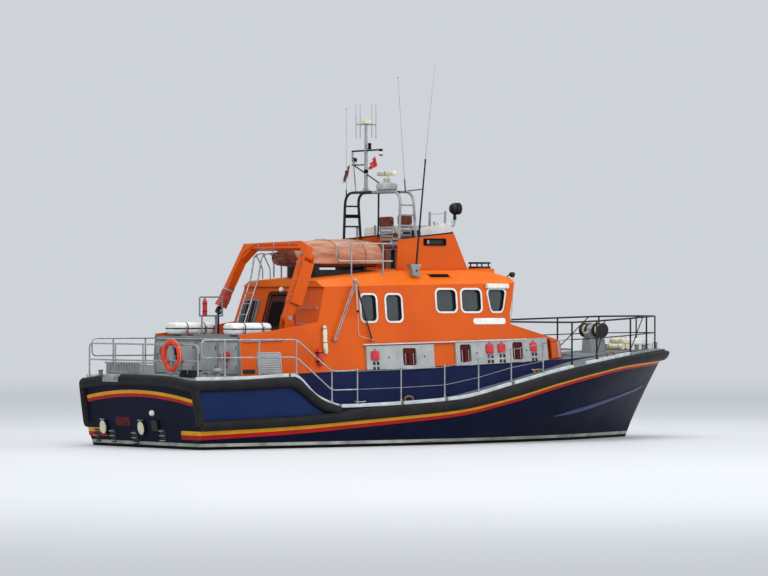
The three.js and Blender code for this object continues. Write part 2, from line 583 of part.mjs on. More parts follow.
// Low windscreen on the coaming
const SCREEN = { aft: -560, aftRise: 240, foreFoot: 470, foreTop: 400, foreRise: 300, skin: 12 };
function windscreen() {
  const { aft, aftRise, foreFoot, foreTop, foreRise, skin } = SCREEN;
  const outline = (inset, spare) => [[aft - spare, coamingTopAt(aft) + GAP - spare],
    [foreFoot - inset, coamingTopAt(foreFoot) + GAP - spare],
    [foreTop - inset, coamingTopAt(foreTop) + foreRise + spare],
    [aft - spare, coamingTopAt(aft) + aftRise + spare]];
  return slabXZ(outline(0, 0), [-1250, 1250])
    .subtract(slabXZ(outline(skin, 300), [-1250 + skin, 1250 - skin]));
}
add('flybridge_windscreen', windscreen(), 'glass');

// Mast arch: two hoops over the flying bridge with rungs between their legs
const ARCH = { y: 1220, topZ: 6500, r: 36, fore: [-700, -790], aft: [-1240, -1190], corner: 330 };

function hoop([footX, topX], footZ) {
  const bend = [15, 45, 75].map((a) => a * (Math.PI / 180));
  const half = (side) => [
    v(footX, side * ARCH.y, footZ),
    v(topX, side * ARCH.y, ARCH.topZ - ARCH.corner),
    ...bend.map((a) => v(topX, side * (ARCH.y - ARCH.corner * (1 - Math.cos(a))),
      ARCH.topZ - ARCH.corner * (1 - Math.sin(a)))),
    v(topX, side * (ARCH.y - ARCH.corner), ARCH.topZ),
  ];
  return tube([...half(-1), ...half(1).reverse()], ARCH.r, 8);
}

const WHIP = { foot: v(-1000, -1620, 4440), knee: v(-690, -1615, 7280), tip: v(-380, -1610, 9740) };

function mastArch() {
  const legX = ([footX, topX], z) => mix(footX, topX, (z - 5300) / (ARCH.topZ - 5300));
  const rung = (side, z) => tube([v(legX(ARCH.aft, z), side * ARCH.y, z),
    v(legX(ARCH.fore, z), side * ARCH.y, z)], 24, 6);
  const rungs = SIDES.flatMap(([, side]) => [5620, 5890, 6150].map((z) => rung(side, z)));
  const deck = box([ARCH.aft[1], ARCH.fore[1]], [-700, 760], [ARCH.topZ - 20, ARCH.topZ + 22]);
  const arm = tube([v(-760, -700, ARCH.topZ + 10), v(-760, -1600, ARCH.topZ + 60)], 20, 6);
  const whip = join([tube([WHIP.foot, WHIP.knee], 24, 6), tube([WHIP.knee, WHIP.tip], 9, 5)]);
  const bracket = box([-1120, -880], [-1670, -1540], [4330, 4450]);
  const thin = [[v(-1190, 1180, 6300), v(-1180, 1190, 8700)], [v(-872, -1000, 6470), v(-1110, -1000, 9440)]]
    .map((path) => tube(path, 8, 5));
  thin.push(tube([v(ARCH.fore[1], -1000, 6481), v(-885, -1000, 6490)], 14, 5));
  const legs = [ARCH.fore, ARCH.aft].map((leg) => hoop(leg, coamingTopAt(leg[0]) - 8));
  return join([...legs, ...rungs, deck, arm, whip, bracket, ...thin])
    .subtract(grown(coaming)).subtract(roofClear);
}
const arch = add('mast_arch', mastArch(), 'steel');

// Mast pole with its yards and head
const POLE = { x: -1190, y: 300, foot: ARCH.topZ + 22, head: 8330 };

function mastPole() {
  const at = (dx, dy, z) => v(POLE.x + dx, POLE.y + dy, z);
  return join([
    tube([at(0, 0, POLE.foot), at(0, 0, POLE.head)], 42, 8),
    box([POLE.x - 110, POLE.x + 110], [POLE.y - 110, POLE.y + 110], [POLE.foot, POLE.foot + 20]),
    tube([at(0, 430, 7550), at(0, -500, 7590)], 24, 6),
    tube([at(0, 0, 7200), at(0, 430, 7200)], 18, 6),
    tube([at(0, 430, 7550), at(0, 430, POLE.foot + 2)], 20, 6),
    tube([at(-320, 0, POLE.head - 60), at(320, 0, POLE.head - 60)], 18, 6),
    tube([at(0, -260, POLE.head - 60), at(0, 260, POLE.head - 60)], 18, 6),
    ...[[-320, 0], [320, 0], [0, -260], [0, 260]].map(([dx, dy]) => (
      tube([at(dx, dy, POLE.head - 80), at(dx, dy, 8800)], 9, 5))),
  ]).subtract(arch.translate([0, 0, GAP]));
}
add('mast_pole', mastPole(), 'steel');

// Radar: a fixed pedestal and a scanner that turns on it
const RADAR = { x: -980, y: -330, foot: ARCH.topZ + ARCH.r * Math.cos(Math.PI / 8), half: 600,
  turned: -15, neck: 320 };
add('radar_pedestal', join([
  box([RADAR.x - 230, RADAR.x + 230], [RADAR.y - 200, RADAR.y + 200], [RADAR.foot + GAP, RADAR.foot + 60]),
  tube([v(RADAR.x, RADAR.y, RADAR.foot + 50), v(RADAR.x, RADAR.y, RADAR.foot + RADAR.neck)], 165, 10),
]), 'white');
add('radar_scanner', join([
  tube([v(0, 0, RADAR.neck + GAP), v(0, 0, 400)], 60, 10),
  box([-60, 60], [-RADAR.half, RADAR.half], [390, 510]),
]).rotate([0, 0, RADAR.turned]).translate([RADAR.x, RADAR.y, RADAR.foot]), 'white');

// Searchlight on its post at the flying bridge
const LAMP = { x: 800, y: -900, z: 6080, r: 150, swivelZ: 5890 };
add('searchlight_post', join([
  box([474, 545], [LAMP.y - 60, LAMP.y + 60], [BRIDGE.topFwdZ + GAP, BRIDGE.topFwdZ + 24]),
  tube([v(510, LAMP.y, BRIDGE.topFwdZ + 10), v(510, LAMP.y, 5560), v(LAMP.x, LAMP.y, 5640),
    v(LAMP.x, LAMP.y, LAMP.swivelZ)], 26, 8),
]), 'steel');
add('searchlight', join([
  tube([v(LAMP.x, LAMP.y, LAMP.swivelZ + GAP), v(LAMP.x, LAMP.y, LAMP.z - 100)], 40, 8),
  tube([v(LAMP.x - 130, LAMP.y, LAMP.z), v(LAMP.x + 130, LAMP.y, LAMP.z)], LAMP.r, 12),
]), 'black');

// Launching davit: an arm hinged on the casing, and a jib folded across the boat at its knuckle.
// Both are drawn upright in Y and Z with the foot hinge at Z = 0, then raked forward.
const DAVIT = { x: -4880, y: -1380, z: 3240, rake: 20, pinR: 40, knuckle: 1680, knucklePinR: 34 };
const ARM = { footHalf: 90, footDeep: 115, step: 400, top: 1520, outer: 180, inner: 110, aft: -130,
  fore: 210, cheek: 24 };
const JIB = { half: 95, deep: 100, under: 1865, topStarboard: 2065, topPort: 2000, bevelY: -1130,
  bevelZ: 1930, legTop: [1330, 1930], legEnd: [1740, 360], gusset: [980, 1520] };
const KNUCKLE_PLAY = 6; // between the jib and each cheek of the arm
const davitUp = v(Math.sin(DAVIT.rake * (Math.PI / 180)), 0, Math.cos(DAVIT.rake * (Math.PI / 180)));
const onDavit = (s, y) => v(DAVIT.x, y, DAVIT.z).addScaledVector(davitUp, s);
const raked = (body) => body.rotate([0, DAVIT.rake, 0]).translate([DAVIT.x, 0, DAVIT.z]);
const RAM = { y: -1200, footX: -4500, footZ: 2960, reach: 660, barrelR: 42, rodR: 24, eyeR: 48,
  pinR: 18 };

// Half a circle about the knuckle, as points in Y and Z
function knuckleArc(r, from) {
  return [0, 36, 72, 108, 144, 180].map((turn) => {
    const angle = (from + turn) * (Math.PI / 180);
    return [DAVIT.y + r * Math.cos(angle), DAVIT.knuckle + r * Math.sin(angle)];
  });
}

function davitArm() {
  const { y, knuckle, pinR, knucklePinR } = DAVIT;
  const { footHalf, footDeep, step, top, outer, inner, aft, fore, cheek } = ARM;
  const outline = [[y + inner, step], ...knuckleArc(inner, 0), [y - outer, knuckle - outer],
    [y - outer, step]];
  const lugR = 40;
  return raked(join([
    box([-footDeep, footDeep], [y - footHalf, y + footHalf], [0, step + 10]),
    tube([v(0, y - footHalf, 0), v(0, y + footHalf, 0)], footDeep, 12),
    box([aft, fore], [y - outer, y + inner], [step, top]),
    slabYZ(outline, [aft, aft + cheek]),
    slabYZ(outline, [fore - cheek, fore]),
    tube([v(aft, y, knuckle), v(fore, y, knuckle)], knucklePinR, ROUND),
    tube([v(0, RAM.y - 37, RAM.reach), v(0, y + footHalf, RAM.reach)], lugR, 8),
  ]).subtract(tube([v(0, y - 300, 0), v(0, y + 300, 0)], boreOf(pinR), ROUND)));
}
add('davit_arm', davitArm(), 'orange');

const legTop = new THREE.Vector2(...JIB.legTop);
const legEnd = new THREE.Vector2(...JIB.legEnd);
const legAlong = legEnd.clone().sub(legTop).normalize();
const legOut = new THREE.Vector2(-legAlong.y, legAlong.x);

// Where the outer or inner side of the jib's leg passes a height
function legEdge(side, z) {
  const foot = legTop.clone().addScaledVector(legOut, side * JIB.half);
  return foot.addScaledVector(legAlong, (z - foot.y) / legAlong.y).toArray();
}

function davitJib() {
  const { half, deep, under, topStarboard, topPort, bevelY, bevelZ, gusset } = JIB;
  const { y, knuckle, knucklePinR } = DAVIT;
  const outline = [...knuckleArc(half, 180), [y + half, under - half], [y + 2 * half, under],
    [gusset[0], under], legEdge(-1, gusset[1]), legEnd.clone().addScaledVector(legOut, -half).toArray(),
    legEnd.clone().addScaledVector(legOut, half).toArray(), legEdge(1, topPort), [bevelY, topStarboard],
    [y - half, bevelZ]];
  const boss = tube([v(-deep, y, knuckle), v(ARM.fore - ARM.cheek - KNUCKLE_PLAY, y, knuckle)], half, 12);
  const bore = tube([v(ARM.aft, y, knuckle), v(ARM.fore, y, knuckle)], boreOf(knucklePinR), ROUND);
  return raked(slabYZ(outline, [-deep, deep]).add(boss).subtract(bore));
}
const jib = add('davit_jib', davitJib(), 'orange');

// Canvas boot over the end of the jib
const BOOT = { below: 30, above: 520, low: [128, 136], high: [112, 118], bevel: 45 };
function davitBoot() {
  const ring = (up, [half, deep]) => {
    const centre = legEnd.clone().addScaledVector(legAlong, -up);
    const { bevel } = BOOT;
    return [[half, deep - bevel], [half - bevel, deep], [bevel - half, deep], [-half, deep - bevel],
      [-half, bevel - deep], [bevel - half, -deep], [half - bevel, -deep], [half, bevel - deep]]
      .map(([out, x]) => v(x, centre.x + out * legOut.x, centre.y + out * legOut.y));
  };
  return raked(loft([ring(-BOOT.below, BOOT.low), ring(BOOT.above, BOOT.high)])).subtract(grown(jib));
}
add('davit_boot', davitBoot(), 'red');

function davitPedestal() {
  const offset = ARM.footHalf + 18;
  const { x, y, z, pinR } = DAVIT;
  const ear = (at) => slabXZ([[x - 190, CASING_TOP + GAP], [x + 190, CASING_TOP + GAP],
    [x + 100, z + 90], [x - 100, z + 90]], [at - 12, at + 12]);
  return join([
    box([x - 190, x + 190], [y - offset - 12, RAM.y + 75], [CASING_TOP + GAP, CASING_TOP + 60]),
    box([x + 180, RAM.footX + 70], [RAM.y - 75, RAM.y + 75], [CASING_TOP + GAP, CASING_TOP + 40]),
    ear(y - offset), ear(y + offset),
    tube([v(x, y - offset, z), v(x, y + offset, z)], pinR, ROUND),
    ...[-60, 60].map((dy) => box([RAM.footX - 50, RAM.footX + 50],
      [RAM.y + dy - 8, RAM.y + dy + 8], [CASING_TOP + 20, RAM.footZ + 45])),
    tube([v(RAM.footX, RAM.y - 60, RAM.footZ), v(RAM.footX, RAM.y + 60, RAM.footZ)], RAM.pinR, ROUND),
  ]);
}
add('davit_pedestal', davitPedestal(), 'grey');

// Ram: barrel on the pedestal, rod to the arm
const ramFoot = v(RAM.footX, RAM.y, RAM.footZ);
const ramHead = onDavit(RAM.reach, RAM.y);
const ramAxis = ramHead.clone().sub(ramFoot);
const RAM_SPAN = ramAxis.length();
ramAxis.normalize();
const onRam = (s) => ramFoot.clone().addScaledVector(ramAxis, s);
const BARREL = { from: 60, to: 690, bore: 200 };

const acrossRam = (p, half, r, sides) => tube([v(p.x, p.y - half, p.z), v(p.x, p.y + half, p.z)], r, sides);
add('davit_ram_barrel', join([
  tube([onRam(BARREL.from - 30), onRam(BARREL.to)], RAM.barrelR, 10),
  acrossRam(ramFoot, 40, RAM.eyeR, 10),
]).subtract(acrossRam(ramFoot, 50, boreOf(RAM.pinR), ROUND))
  .subtract(tube([onRam(BARREL.bore), onRam(BARREL.to + 10)], RAM.rodR + GAP, 10)), 'red');
add('davit_ram_rod', join([
  tube([onRam(BARREL.bore + 210), onRam(RAM_SPAN - 20)], RAM.rodR, 10),
  acrossRam(ramHead, 26, RAM.eyeR, 10),
]), 'steel');

// Covered tender on its cradle
const TENDER_COLUMNS = ['x', 'half', 'low', 'high'];
const TENDER = [[-4250, 150, 4640, 4830], [-4050, 380, 4590, 4980], [-3600, 620, 4560, 5150],
  [-2900, 760, 4540, 5240], [-2100, 790, 4540, 5260], [-1450, 760, 4550, 5220]]
  .map((row) => Object.fromEntries(TENDER_COLUMNS.map((name, i) => [name, row[i]])));

function tender() {
  return loft(TENDER.map(({ x, half, low, high }) => {
    const round = [[1, 0.25], [1, 0.55], [0.72, 0.86], [0.25, 1], [-0.25, 1], [-0.72, 0.86], [-1, 0.55],
      [-1, 0.25], [-0.6, 0], [0.6, 0]];
    return round.map(([y, z]) => v(x, y * half, mix(low, high, z)));
  }));
}
const tenderBody = add('tender', tender(), 'cover');

function tenderCradle() {
  const chocks = [-3400, -1900].map((x) => box([x - 50, x + 50], [-620, 620], [4200, 4700]));
  const runners = [-560, 560].map((y) => box([-3450, -1850], [y - 40, y + 40], [4250, 4480]));
  return join([...chocks, ...runners]).subtract(roofClear).subtract(grown(tenderBody));
}
add('tender_cradle', tenderCradle(), 'grey');

// Liferaft canisters on the casing
const RAFT = { x: [-6640, -5430], y: 1295, half: 270, lift: 45, top: 3130, round: 130, feet: [-6350, -5720],
  foot: [60, 200, 120] };
function liferaft(side) {
  const y = side * RAFT.y;
  const shape = rounded([y - RAFT.half, y + RAFT.half], [CASING_TOP + RAFT.lift, RAFT.top], RAFT.round);
  const canister = slabYZ(shape, RAFT.x, 3);
  const [footX, footY, footZ] = RAFT.foot;
  const feet = RAFT.feet.map((x) => box([x - footX, x + footX], [y - footY, y + footY],
    [CASING_TOP + GAP, CASING_TOP + footZ]));
  return join([canister, ...feet]);
}
SIDES.forEach(([name, side]) => add(`liferaft_${name}`, liferaft(side), 'white'));

// Hatches
const hatchLid = box([HATCH.x[0] - 25, HATCH.x[1] + 5], [-HATCH.y - 25, HATCH.y + 25],
  [HATCH.z + GAP, HATCH.z + 50]);
add('foredeck_hatch', hatchLid, 'grey');
const ENGINE_HATCH = { x: [-6550, -5900], y: 380 };
add('engine_hatch', box(ENGINE_HATCH.x, [-ENGINE_HATCH.y, ENGINE_HATCH.y],
  [CASING_TOP + GAP, CASING_TOP + 50]), 'grey');

// Guard rails, cut to the deck and the toe rails that they stand on
const deckFoot = (body) => body.subtract(hullClear).subtract(grown(toeRails));
const post = (x, side, top) => tube([v(x, side * postY(x), postFoot(x)), v(x, side * postY(x), top)], RAIL_R);

const STERN_RAIL = { x: -8330, half: 2480, top: 2600, mid: 2190, foot: 1650 };
function sternRail() {
  const { x, half, top, mid, foot } = STERN_RAIL;
  const posts = [-half, -1270, 0, 1270, half].map((y) => tube([v(x, y, foot), v(x, y, top)], RAIL_R));
  const bars = [top, mid].map((z) => tube([v(x, -half, z), v(x, half, z)], RAIL_R));
  return deckFoot(join([...posts, ...bars]));
}
add('stern_rail', sternRail(), 'steel');

const STANCHION_COLUMNS = ['x', 'top'];
const STANCHIONS = [[-3630, 1930], [-2280, 1960], [-890, 2010], [210, 2190], [1300, 2430], [2420, 2590]]
  .map((row) => Object.fromEntries(STANCHION_COLUMNS.map((name, i) => [name, row[i]])));
const AFT_RAIL = { gate: -8240, posts: [-7570, -6560, -5450], top: 2720, mid: 2280, low: -4400 };

function sideRail(side) {
  const at = (x, z) => v(x, side * postY(x), z);
  const { gate, posts, top, mid, low } = AFT_RAIL;
  const end = posts[posts.length - 1];
  const [first] = STANCHIONS;
  const bars = tube([at(first.x, first.top), at(low, 1910), at(end, top), at(gate + 90, top),
    at(gate, top - 90), at(gate, mid + 90), at(gate + 90, mid), at(end, mid), at(low, 1440),
    at(first.x, first.top - 480)], RAIL_R - 2);
  const uprights = [...posts.map((x) => post(x, side, top)), post(low, side, 1910),
    ...STANCHIONS.map((s) => post(s.x, side, s.top))];
  const wires = [0, 460].flatMap((drop) => STANCHIONS.slice(1).map((s, i) => (
    tube([at(STANCHIONS[i].x, STANCHIONS[i].top - drop - 20), at(s.x, s.top - drop - 20)], WIRE_R, 5))));
  return deckFoot(join([bars, ...uprights, ...wires]));
}
SIDES.forEach(([name, side]) => add(`side_rail_${name}`, sideRail(side), 'steel'));

const BOW_POST_COLUMNS = ['x', 'top'];
const BOW_POSTS = [[3500, 3110], [4530, 3140], [6150, 3200], [7150, 3240]]
  .map((row) => Object.fromEntries(BOW_POST_COLUMNS.map((name, i) => [name, row[i]])));
const BOW_NOSE = { top: 3250, mid: 2800, foot: 2250 };

function bowRail(side) {
  const at = (x, z) => v(x, side * postY(x), z);
  const last = STANCHIONS[STANCHIONS.length - 1];
  const posts = BOW_POSTS.map((s) => post(s.x, side, s.top));
  const nose = (z) => [v(7950, side * 400, z), v(8050, side * 200, z), v(8050, side * GAP, z)];
  const top = tube([v(FRONT_WALL.x - 20, side * 1715, 3130), ...BOW_POSTS.map((s) => at(s.x, s.top)),
    ...nose(BOW_NOSE.top)], RAIL_R);
  const mid = tube([...BOW_POSTS.map((s) => at(s.x, s.top - 450)), ...nose(BOW_NOSE.mid)], RAIL_R - 6);
  const wires = [[20, 430], [480, 870]].map(([aftDrop, foreDrop]) => (
    tube([at(last.x + 24, last.top - aftDrop), at(BOW_POSTS[0].x, BOW_POSTS[0].top - foreDrop)], WIRE_R, 5)));
  const stem = tube([v(7950, side * 400, BOW_NOSE.foot), v(7950, side * 400, BOW_NOSE.top)], RAIL_R);
  return deckFoot(join([...posts, top, mid, stem, ...wires])).subtract(grown(front));
}
SIDES.forEach(([name, side]) => add(`bow_rail_${name}`, bowRail(side), 'black'));

// Rails beside the tender on the roof
function roofRail(side) {
  const y = side * 1420;
  const loop = tube([v(-1600, y, 5150), v(-3280, y, 5150), v(-3360, y, 5070), v(-3360, y, 4780),
    v(-3280, y, 4700), v(-1600, y, 4700)], RAIL_R);
  const posts = [-2900, -1900].map((x) => tube([v(x, y, 4100), v(x, y, 5150)], RAIL_R));
  return join([loop, ...posts]).subtract(roofClear);
}
SIDES.forEach(([name, side]) => add(`roof_rail_${name}`, roofRail(side), 'steel'));

// Ladder up the aft wall to the roof
function ladder() {
  const stiles = [700, 1040].map((y) => tube([v(-4880, y, CASING_TOP - 20), v(-4320, y, 4250),
    v(-4220, y, 4800), v(-4080, y, 4900), v(-3700, y, 4900), v(-3600, y, 4800), v(-3600, y, 4150)], RAIL_R));
  const rungs = [3050, 3330, 3610, 3890, 4170].map((z) => {
    const x = mix(-4880, -4320, (z - CASING_TOP) / (4250 - CASING_TOP));
    return tube([v(x, 700, z), v(x, 1040, z)], 16);
  });
  return join([...stiles, ...rungs]).subtract(roofClear)
    .subtract(box([-5200, -4500], [600, 1300], [2500, CASING_TOP + GAP]));
}
add('roof_ladder', ladder(), 'steel');

// Recovery frames, stowed against the house sides and hinged at their feet
function recoveryFrame(side) {
  const apex = v(AFRAME.apexX, side * AFRAME.apexY, AFRAME.apexZ);
  const feet = AFRAME.x.map((x) => v(x, side * AFRAME.y, AFRAME.z));
  const eyes = feet.map((p) => tube([v(p.x - 30, p.y, p.z), v(p.x + 30, p.y, p.z)], AFRAME.r + 6, 10));
  const bores = feet.map((p) => tube([v(p.x - 45, p.y, p.z), v(p.x + 45, p.y, p.z)],
    boreOf(AFRAME.pinR), ROUND));
  return join([tube([feet[0], apex], AFRAME.r, 8), tube([feet[1], apex], AFRAME.r, 8), ...eyes])
    .subtract(join(bores));
}
SIDES.forEach(([name, side]) => add(`recovery_frame_${name}`, recoveryFrame(side), 'steel'));

// Life ring on the stern rail
const RING = { y: -1430, z: 2330, r: 340, tube: 58 };
RING.x = STERN_RAIL.x - RAIL_R - RING.tube * Math.sin(0.4 * Math.PI) - GAP;
const ringProfile = Array.from({ length: 11 }, (_, i) => {
  const angle = (i / 10) * 2 * Math.PI;
  return new THREE.Vector2(RING.r + RING.tube * Math.cos(angle), RING.tube * Math.sin(angle));
});
add('life_ring', solid(new THREE.LatheGeometry(ringProfile, 20).rotateZ(Math.PI / 2)
  .translate(RING.x, RING.y, RING.z)), 'ring');

// Anchor windlass on the foredeck
const WINDLASS = { x: [5850, 6450], half: 260, z: [2200, 2720], drumX: 6150, drumHalf: 420, drumZ: 2880, drumR: 200 };
add('windlass', deckFoot(join([
  box(WINDLASS.x, [-WINDLASS.half, WINDLASS.half], WINDLASS.z),
  tube([v(WINDLASS.drumX, -WINDLASS.drumHalf, WINDLASS.drumZ), v(WINDLASS.drumX, WINDLASS.drumHalf, WINDLASS.drumZ)],
    WINDLASS.drumR, 12),
])), 'black');

export default boat;
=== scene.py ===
# All-weather lifeboat afloat: its looks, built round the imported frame.
# Metres. +X to the bow, +Y to port, +Z up, and the water lies at Z = 0.
import bisect
import json
import math

import bmesh
import bpy
from mathutils import Matrix, Vector

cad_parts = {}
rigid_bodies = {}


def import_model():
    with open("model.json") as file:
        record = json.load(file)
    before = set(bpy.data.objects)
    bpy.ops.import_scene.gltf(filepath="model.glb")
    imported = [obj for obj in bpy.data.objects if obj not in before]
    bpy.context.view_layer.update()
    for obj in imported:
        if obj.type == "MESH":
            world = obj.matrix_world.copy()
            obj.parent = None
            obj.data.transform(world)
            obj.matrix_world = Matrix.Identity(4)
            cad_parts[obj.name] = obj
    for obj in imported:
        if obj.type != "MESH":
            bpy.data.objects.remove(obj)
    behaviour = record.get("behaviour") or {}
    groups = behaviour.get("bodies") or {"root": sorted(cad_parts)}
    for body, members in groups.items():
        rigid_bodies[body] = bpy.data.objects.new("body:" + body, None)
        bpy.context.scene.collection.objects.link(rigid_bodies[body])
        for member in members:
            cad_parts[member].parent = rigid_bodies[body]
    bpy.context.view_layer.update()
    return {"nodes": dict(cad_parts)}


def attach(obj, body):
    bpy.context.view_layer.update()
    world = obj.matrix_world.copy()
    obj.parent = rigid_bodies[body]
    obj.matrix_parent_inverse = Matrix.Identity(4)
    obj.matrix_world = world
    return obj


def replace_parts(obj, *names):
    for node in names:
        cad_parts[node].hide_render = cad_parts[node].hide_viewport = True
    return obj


for old in list(bpy.data.objects):
    bpy.data.objects.remove(old)
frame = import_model()

SIDES = (("starboard", -1), ("port", 1))

# Camera of the photograph: level, far off the starboard quarter
AZIMUTH = math.radians(36.15)
CAMERA_AT = (-74.87, -101.35, 4.01)
SENSOR = 36
FOCAL_PIXELS = 4821
FRAME_PIXELS = 768


def make_camera():
    data = bpy.data.cameras.new("camera")
    data.sensor_width = SENSOR
    data.lens = SENSOR * FOCAL_PIXELS / FRAME_PIXELS
    data.clip_start = 1
    data.clip_end = 2000
    camera = bpy.data.objects.new("camera", data)
    camera.location = CAMERA_AT
    camera.rotation_euler = (math.pi / 2, 0, -AZIMUTH)
    bpy.context.scene.collection.objects.link(camera)
    bpy.context.scene.camera = camera


make_camera()


# Colours and procedural surfaces
def tone(red, green, blue):
    """A screen colour, each part from 0 to 255, as the linear colour of a shader."""
    return tuple(((c / 255 + 0.055) / 1.055) ** 2.4 if c > 10 else c / 3294.6
                 for c in (red, green, blue)) + (1,)


class Paint:
    """A material, new or made before, whose nodes are added, set and joined in short lines."""

    def __init__(self, name):
        self.made = name if isinstance(name, bpy.types.Material) else bpy.data.materials.new(name)
        self.made.use_nodes = True
        self.nodes, self.link = self.made.node_tree.nodes, self.made.node_tree.links.new
        self.shader = self.nodes["Principled BSDF"]
        self.place = self.add("TexCoord").outputs["Object"]

    def add(self, kind, settings=None, **sockets):
        node = self.nodes.new("ShaderNode" + kind)
        for setting, value in (settings or {}).items():
            setattr(node, setting, value)
        return self.fill(node, sockets)

    def fill(self, node, sockets):
        """Sets or joins sockets, whose names have _ for each space."""
        for name, value in sockets.items():
            socket = node.inputs[name.replace("_", " ")]
            if isinstance(value, bpy.types.NodeSocket):
                self.link(value, socket)
            else:
                socket.default_value = value
        return node

    def ramp(self, factor, first, other, ends=(0.0, 1.0)):
        ramp = self.add("ValToRGB", Fac=factor)
        for element, place, colour in zip(ramp.color_ramp.elements, ends, (first, other)):
            element.position = place
            element.color = tone(*colour)
        return ramp.outputs["Color"]


DRIFT = (0.36, 0.68)  # where the noise turns from one tone to the other
BUMP_DEPTH = 0.004


def surface(name, first, other, rough, scale=1.5, metal=0.0, grain=0.1, grain_scale=60.0,
            stretch=(1, 1, 1), coat=0.0, bands=(), sheen=0.0, shine=0.5):
    """Two tones that drift over the surface, and a fine grain in its gloss and its bump.
    Each band is a height, and the two tones from there upwards."""
    paint = Paint(name)
    place = paint.add("Mapping", Vector=paint.place, Scale=stretch).outputs["Vector"]
    drift = paint.add("TexNoise", Vector=place, Scale=scale, Detail=7).outputs["Fac"]
    colour = paint.ramp(drift, first, other, DRIFT)
    for height, first, other in bands:
        rise = paint.add("SeparateXYZ", Vector=paint.place).outputs["Z"]
        above = paint.add("Math", {"operation": "GREATER_THAN"}, Value=rise)
        above.inputs[1].default_value = height
        colour = paint.add("Mix", {"data_type": "RGBA"}, Factor=above.outputs["Value"], A=colour,
                           B=paint.ramp(drift, first, other, DRIFT)).outputs["Result"]
    fine = paint.add("TexNoise", Vector=place, Scale=grain_scale, Detail=4).outputs["Fac"]
    gloss = paint.add("MapRange", Value=fine, To_Min=rough * 0.8, To_Max=min(rough * 1.2, 1))
    bump = paint.add("Bump", Height=fine, Strength=grain, Distance=BUMP_DEPTH)
    paint.fill(paint.shader, {
        "Base Color": colour, "Roughness": gloss.outputs["Result"], "Normal": bump.outputs["Normal"],
        "Metallic": metal, "Coat Weight": coat, "Sheen Weight": sheen, "Specular IOR Level": shine})
    return paint.made


NAVY = ((9, 14, 34), (13, 19, 44))
MATERIALS = {
    "hull": surface("hull_paint", (10, 10, 10), (20, 18, 17), 0.4, 2.2, shine=0.05,
                    bands=[(0.075, (176, 178, 168), (128, 132, 122)), (0.155, *NAVY)]),
    "coaming": surface("coaming_paint", (13, 23, 60), (18, 29, 70), 0.42, 1.2, shine=0.08),
    "quarter": surface("quarter_paint", (17, 33, 72), (22, 40, 84), 0.4, 0.8, shine=0.08),
    # The spray rails are the hull's navy; this lighter blue is painted highlight, the glint along their tops.
    "spray": surface("spray_rail_painted_glint", (52, 62, 98), (64, 74, 110), 0.45, shine=0.2),
    "yellow": surface("yellow_band", (224, 160, 10), (208, 142, 10), 0.5, 3, shine=0.2),
    "crimson": surface("red_band", (178, 12, 14), (156, 10, 12), 0.5, 3, shine=0.2),
    "antifoul": surface("antifouling", (26, 26, 28), (46, 42, 38), 0.85, 3, grain=0.4),
    "bronze": surface("bronze", (150, 112, 58), (104, 84, 46), 0.35, 6, metal=0.9, grain=0.2),
    "rubber": surface("fender_rubber", (11, 11, 12), (25, 25, 26), 0.66, 2.5, grain=0.35, grain_scale=25,
                      shine=0.25),
    "toe": surface("toe_rail_paint", (196, 202, 202), (164, 172, 174), 0.5, 4),
    "deck": surface("deck_paint", (104, 114, 118), (88, 97, 101), 0.85, 2, grain=0.7, grain_scale=220),
    "grey": surface("grey_paint", (128, 134, 137), (112, 117, 121), 0.5, 1.6),
    "locker": surface("locker_paint", (168, 170, 168), (146, 148, 148), 0.5, 3),
    "orange": surface("orange_paint", (210, 86, 8), (200, 78, 6), 0.42, 0.9, shine=0.15),
    # The roof's slope is the house's own orange, painted lighter for the light that falls on it from above.
    "chamfer": surface("orange_roof_painted_light", (226, 108, 16), (217, 98, 12), 0.45, 0.9, shine=0.15),
    "white": surface("white_paint", (226, 226, 220), (202, 203, 198), 0.42, 5),
    "plastic": surface("white_plastic", (236, 236, 232), (214, 214, 208), 0.4, 4, coat=0.2),
    "steel": surface("stainless_tube", (178, 182, 184), (146, 151, 154), 0.3, 8, metal=0.85, grain=0.15,
                     grain_scale=150),
    "alloy": surface("weathered_alloy", (158, 162, 162), (122, 126, 128), 0.45, 6, metal=0.55),
    "black": surface("black_paint", (13, 13, 14), (26, 26, 28), 0.5, 6, shine=0.3),
    # Near-black: the colour of screens and lamp bodies, and also painted shade inside the roof's slots and on
    # the door.
    "dark": surface("near_black_and_painted_shade", (7, 6, 7), (20, 12, 10), 0.85, 3, shine=0.1),
    # Dark red: the paint of the hook block and the liferafts' straps, and also painted shade on the door, at
    # the backs of the lockers' recesses and aft of the trunk's corner box.
    "maroon": surface("dark_red_and_painted_shade", (92, 10, 8), (52, 8, 7), 0.6, 9, shine=0.2),
    "pad": surface("red_pad_cloth", (206, 42, 58), (182, 30, 46), 0.8, 14, grain=0.6, grain_scale=300,
                   sheen=0.2),
    "red": surface("red_paint", (198, 30, 24), (166, 24, 20), 0.45, 5),
    "boot": surface("canvas_boot", (184, 62, 40), (146, 44, 30), 0.85, 7, grain=0.6, grain_scale=240,
                    sheen=0.2),
    "ring": surface("life_ring_skin", (232, 62, 16), (206, 44, 12), 0.5, 6, shine=0.3),
    "cover": surface("cover_cloth", (204, 146, 116), (150, 90, 62), 0.88, 3, grain=0.6, grain_scale=260,
                     stretch=(0.35, 1.2, 2.2), sheen=0.1),
    "wine": surface("dark_cover_cloth", (128, 58, 38), (66, 26, 20), 0.85, 5, grain=0.6, grain_scale=260,
                    stretch=(0.5, 1.4, 2.4), sheen=0.1),
    "rope": surface("rope", (206, 198, 176), (168, 156, 128), 0.9, 30, grain=1, grain_scale=180,
                    stretch=(1, 1, 3)),
    "seat": surface("crew_upholstery", (36, 38, 44), (52, 54, 60), 0.75, 6, grain=0.6, grain_scale=200),
    "canister": surface("canister_shell", (238, 239, 236), (216, 217, 214), 0.35, 3, coat=0.2),
    "cream": surface("radar_cream", (226, 220, 190), (204, 198, 170), 0.45, 6),
}


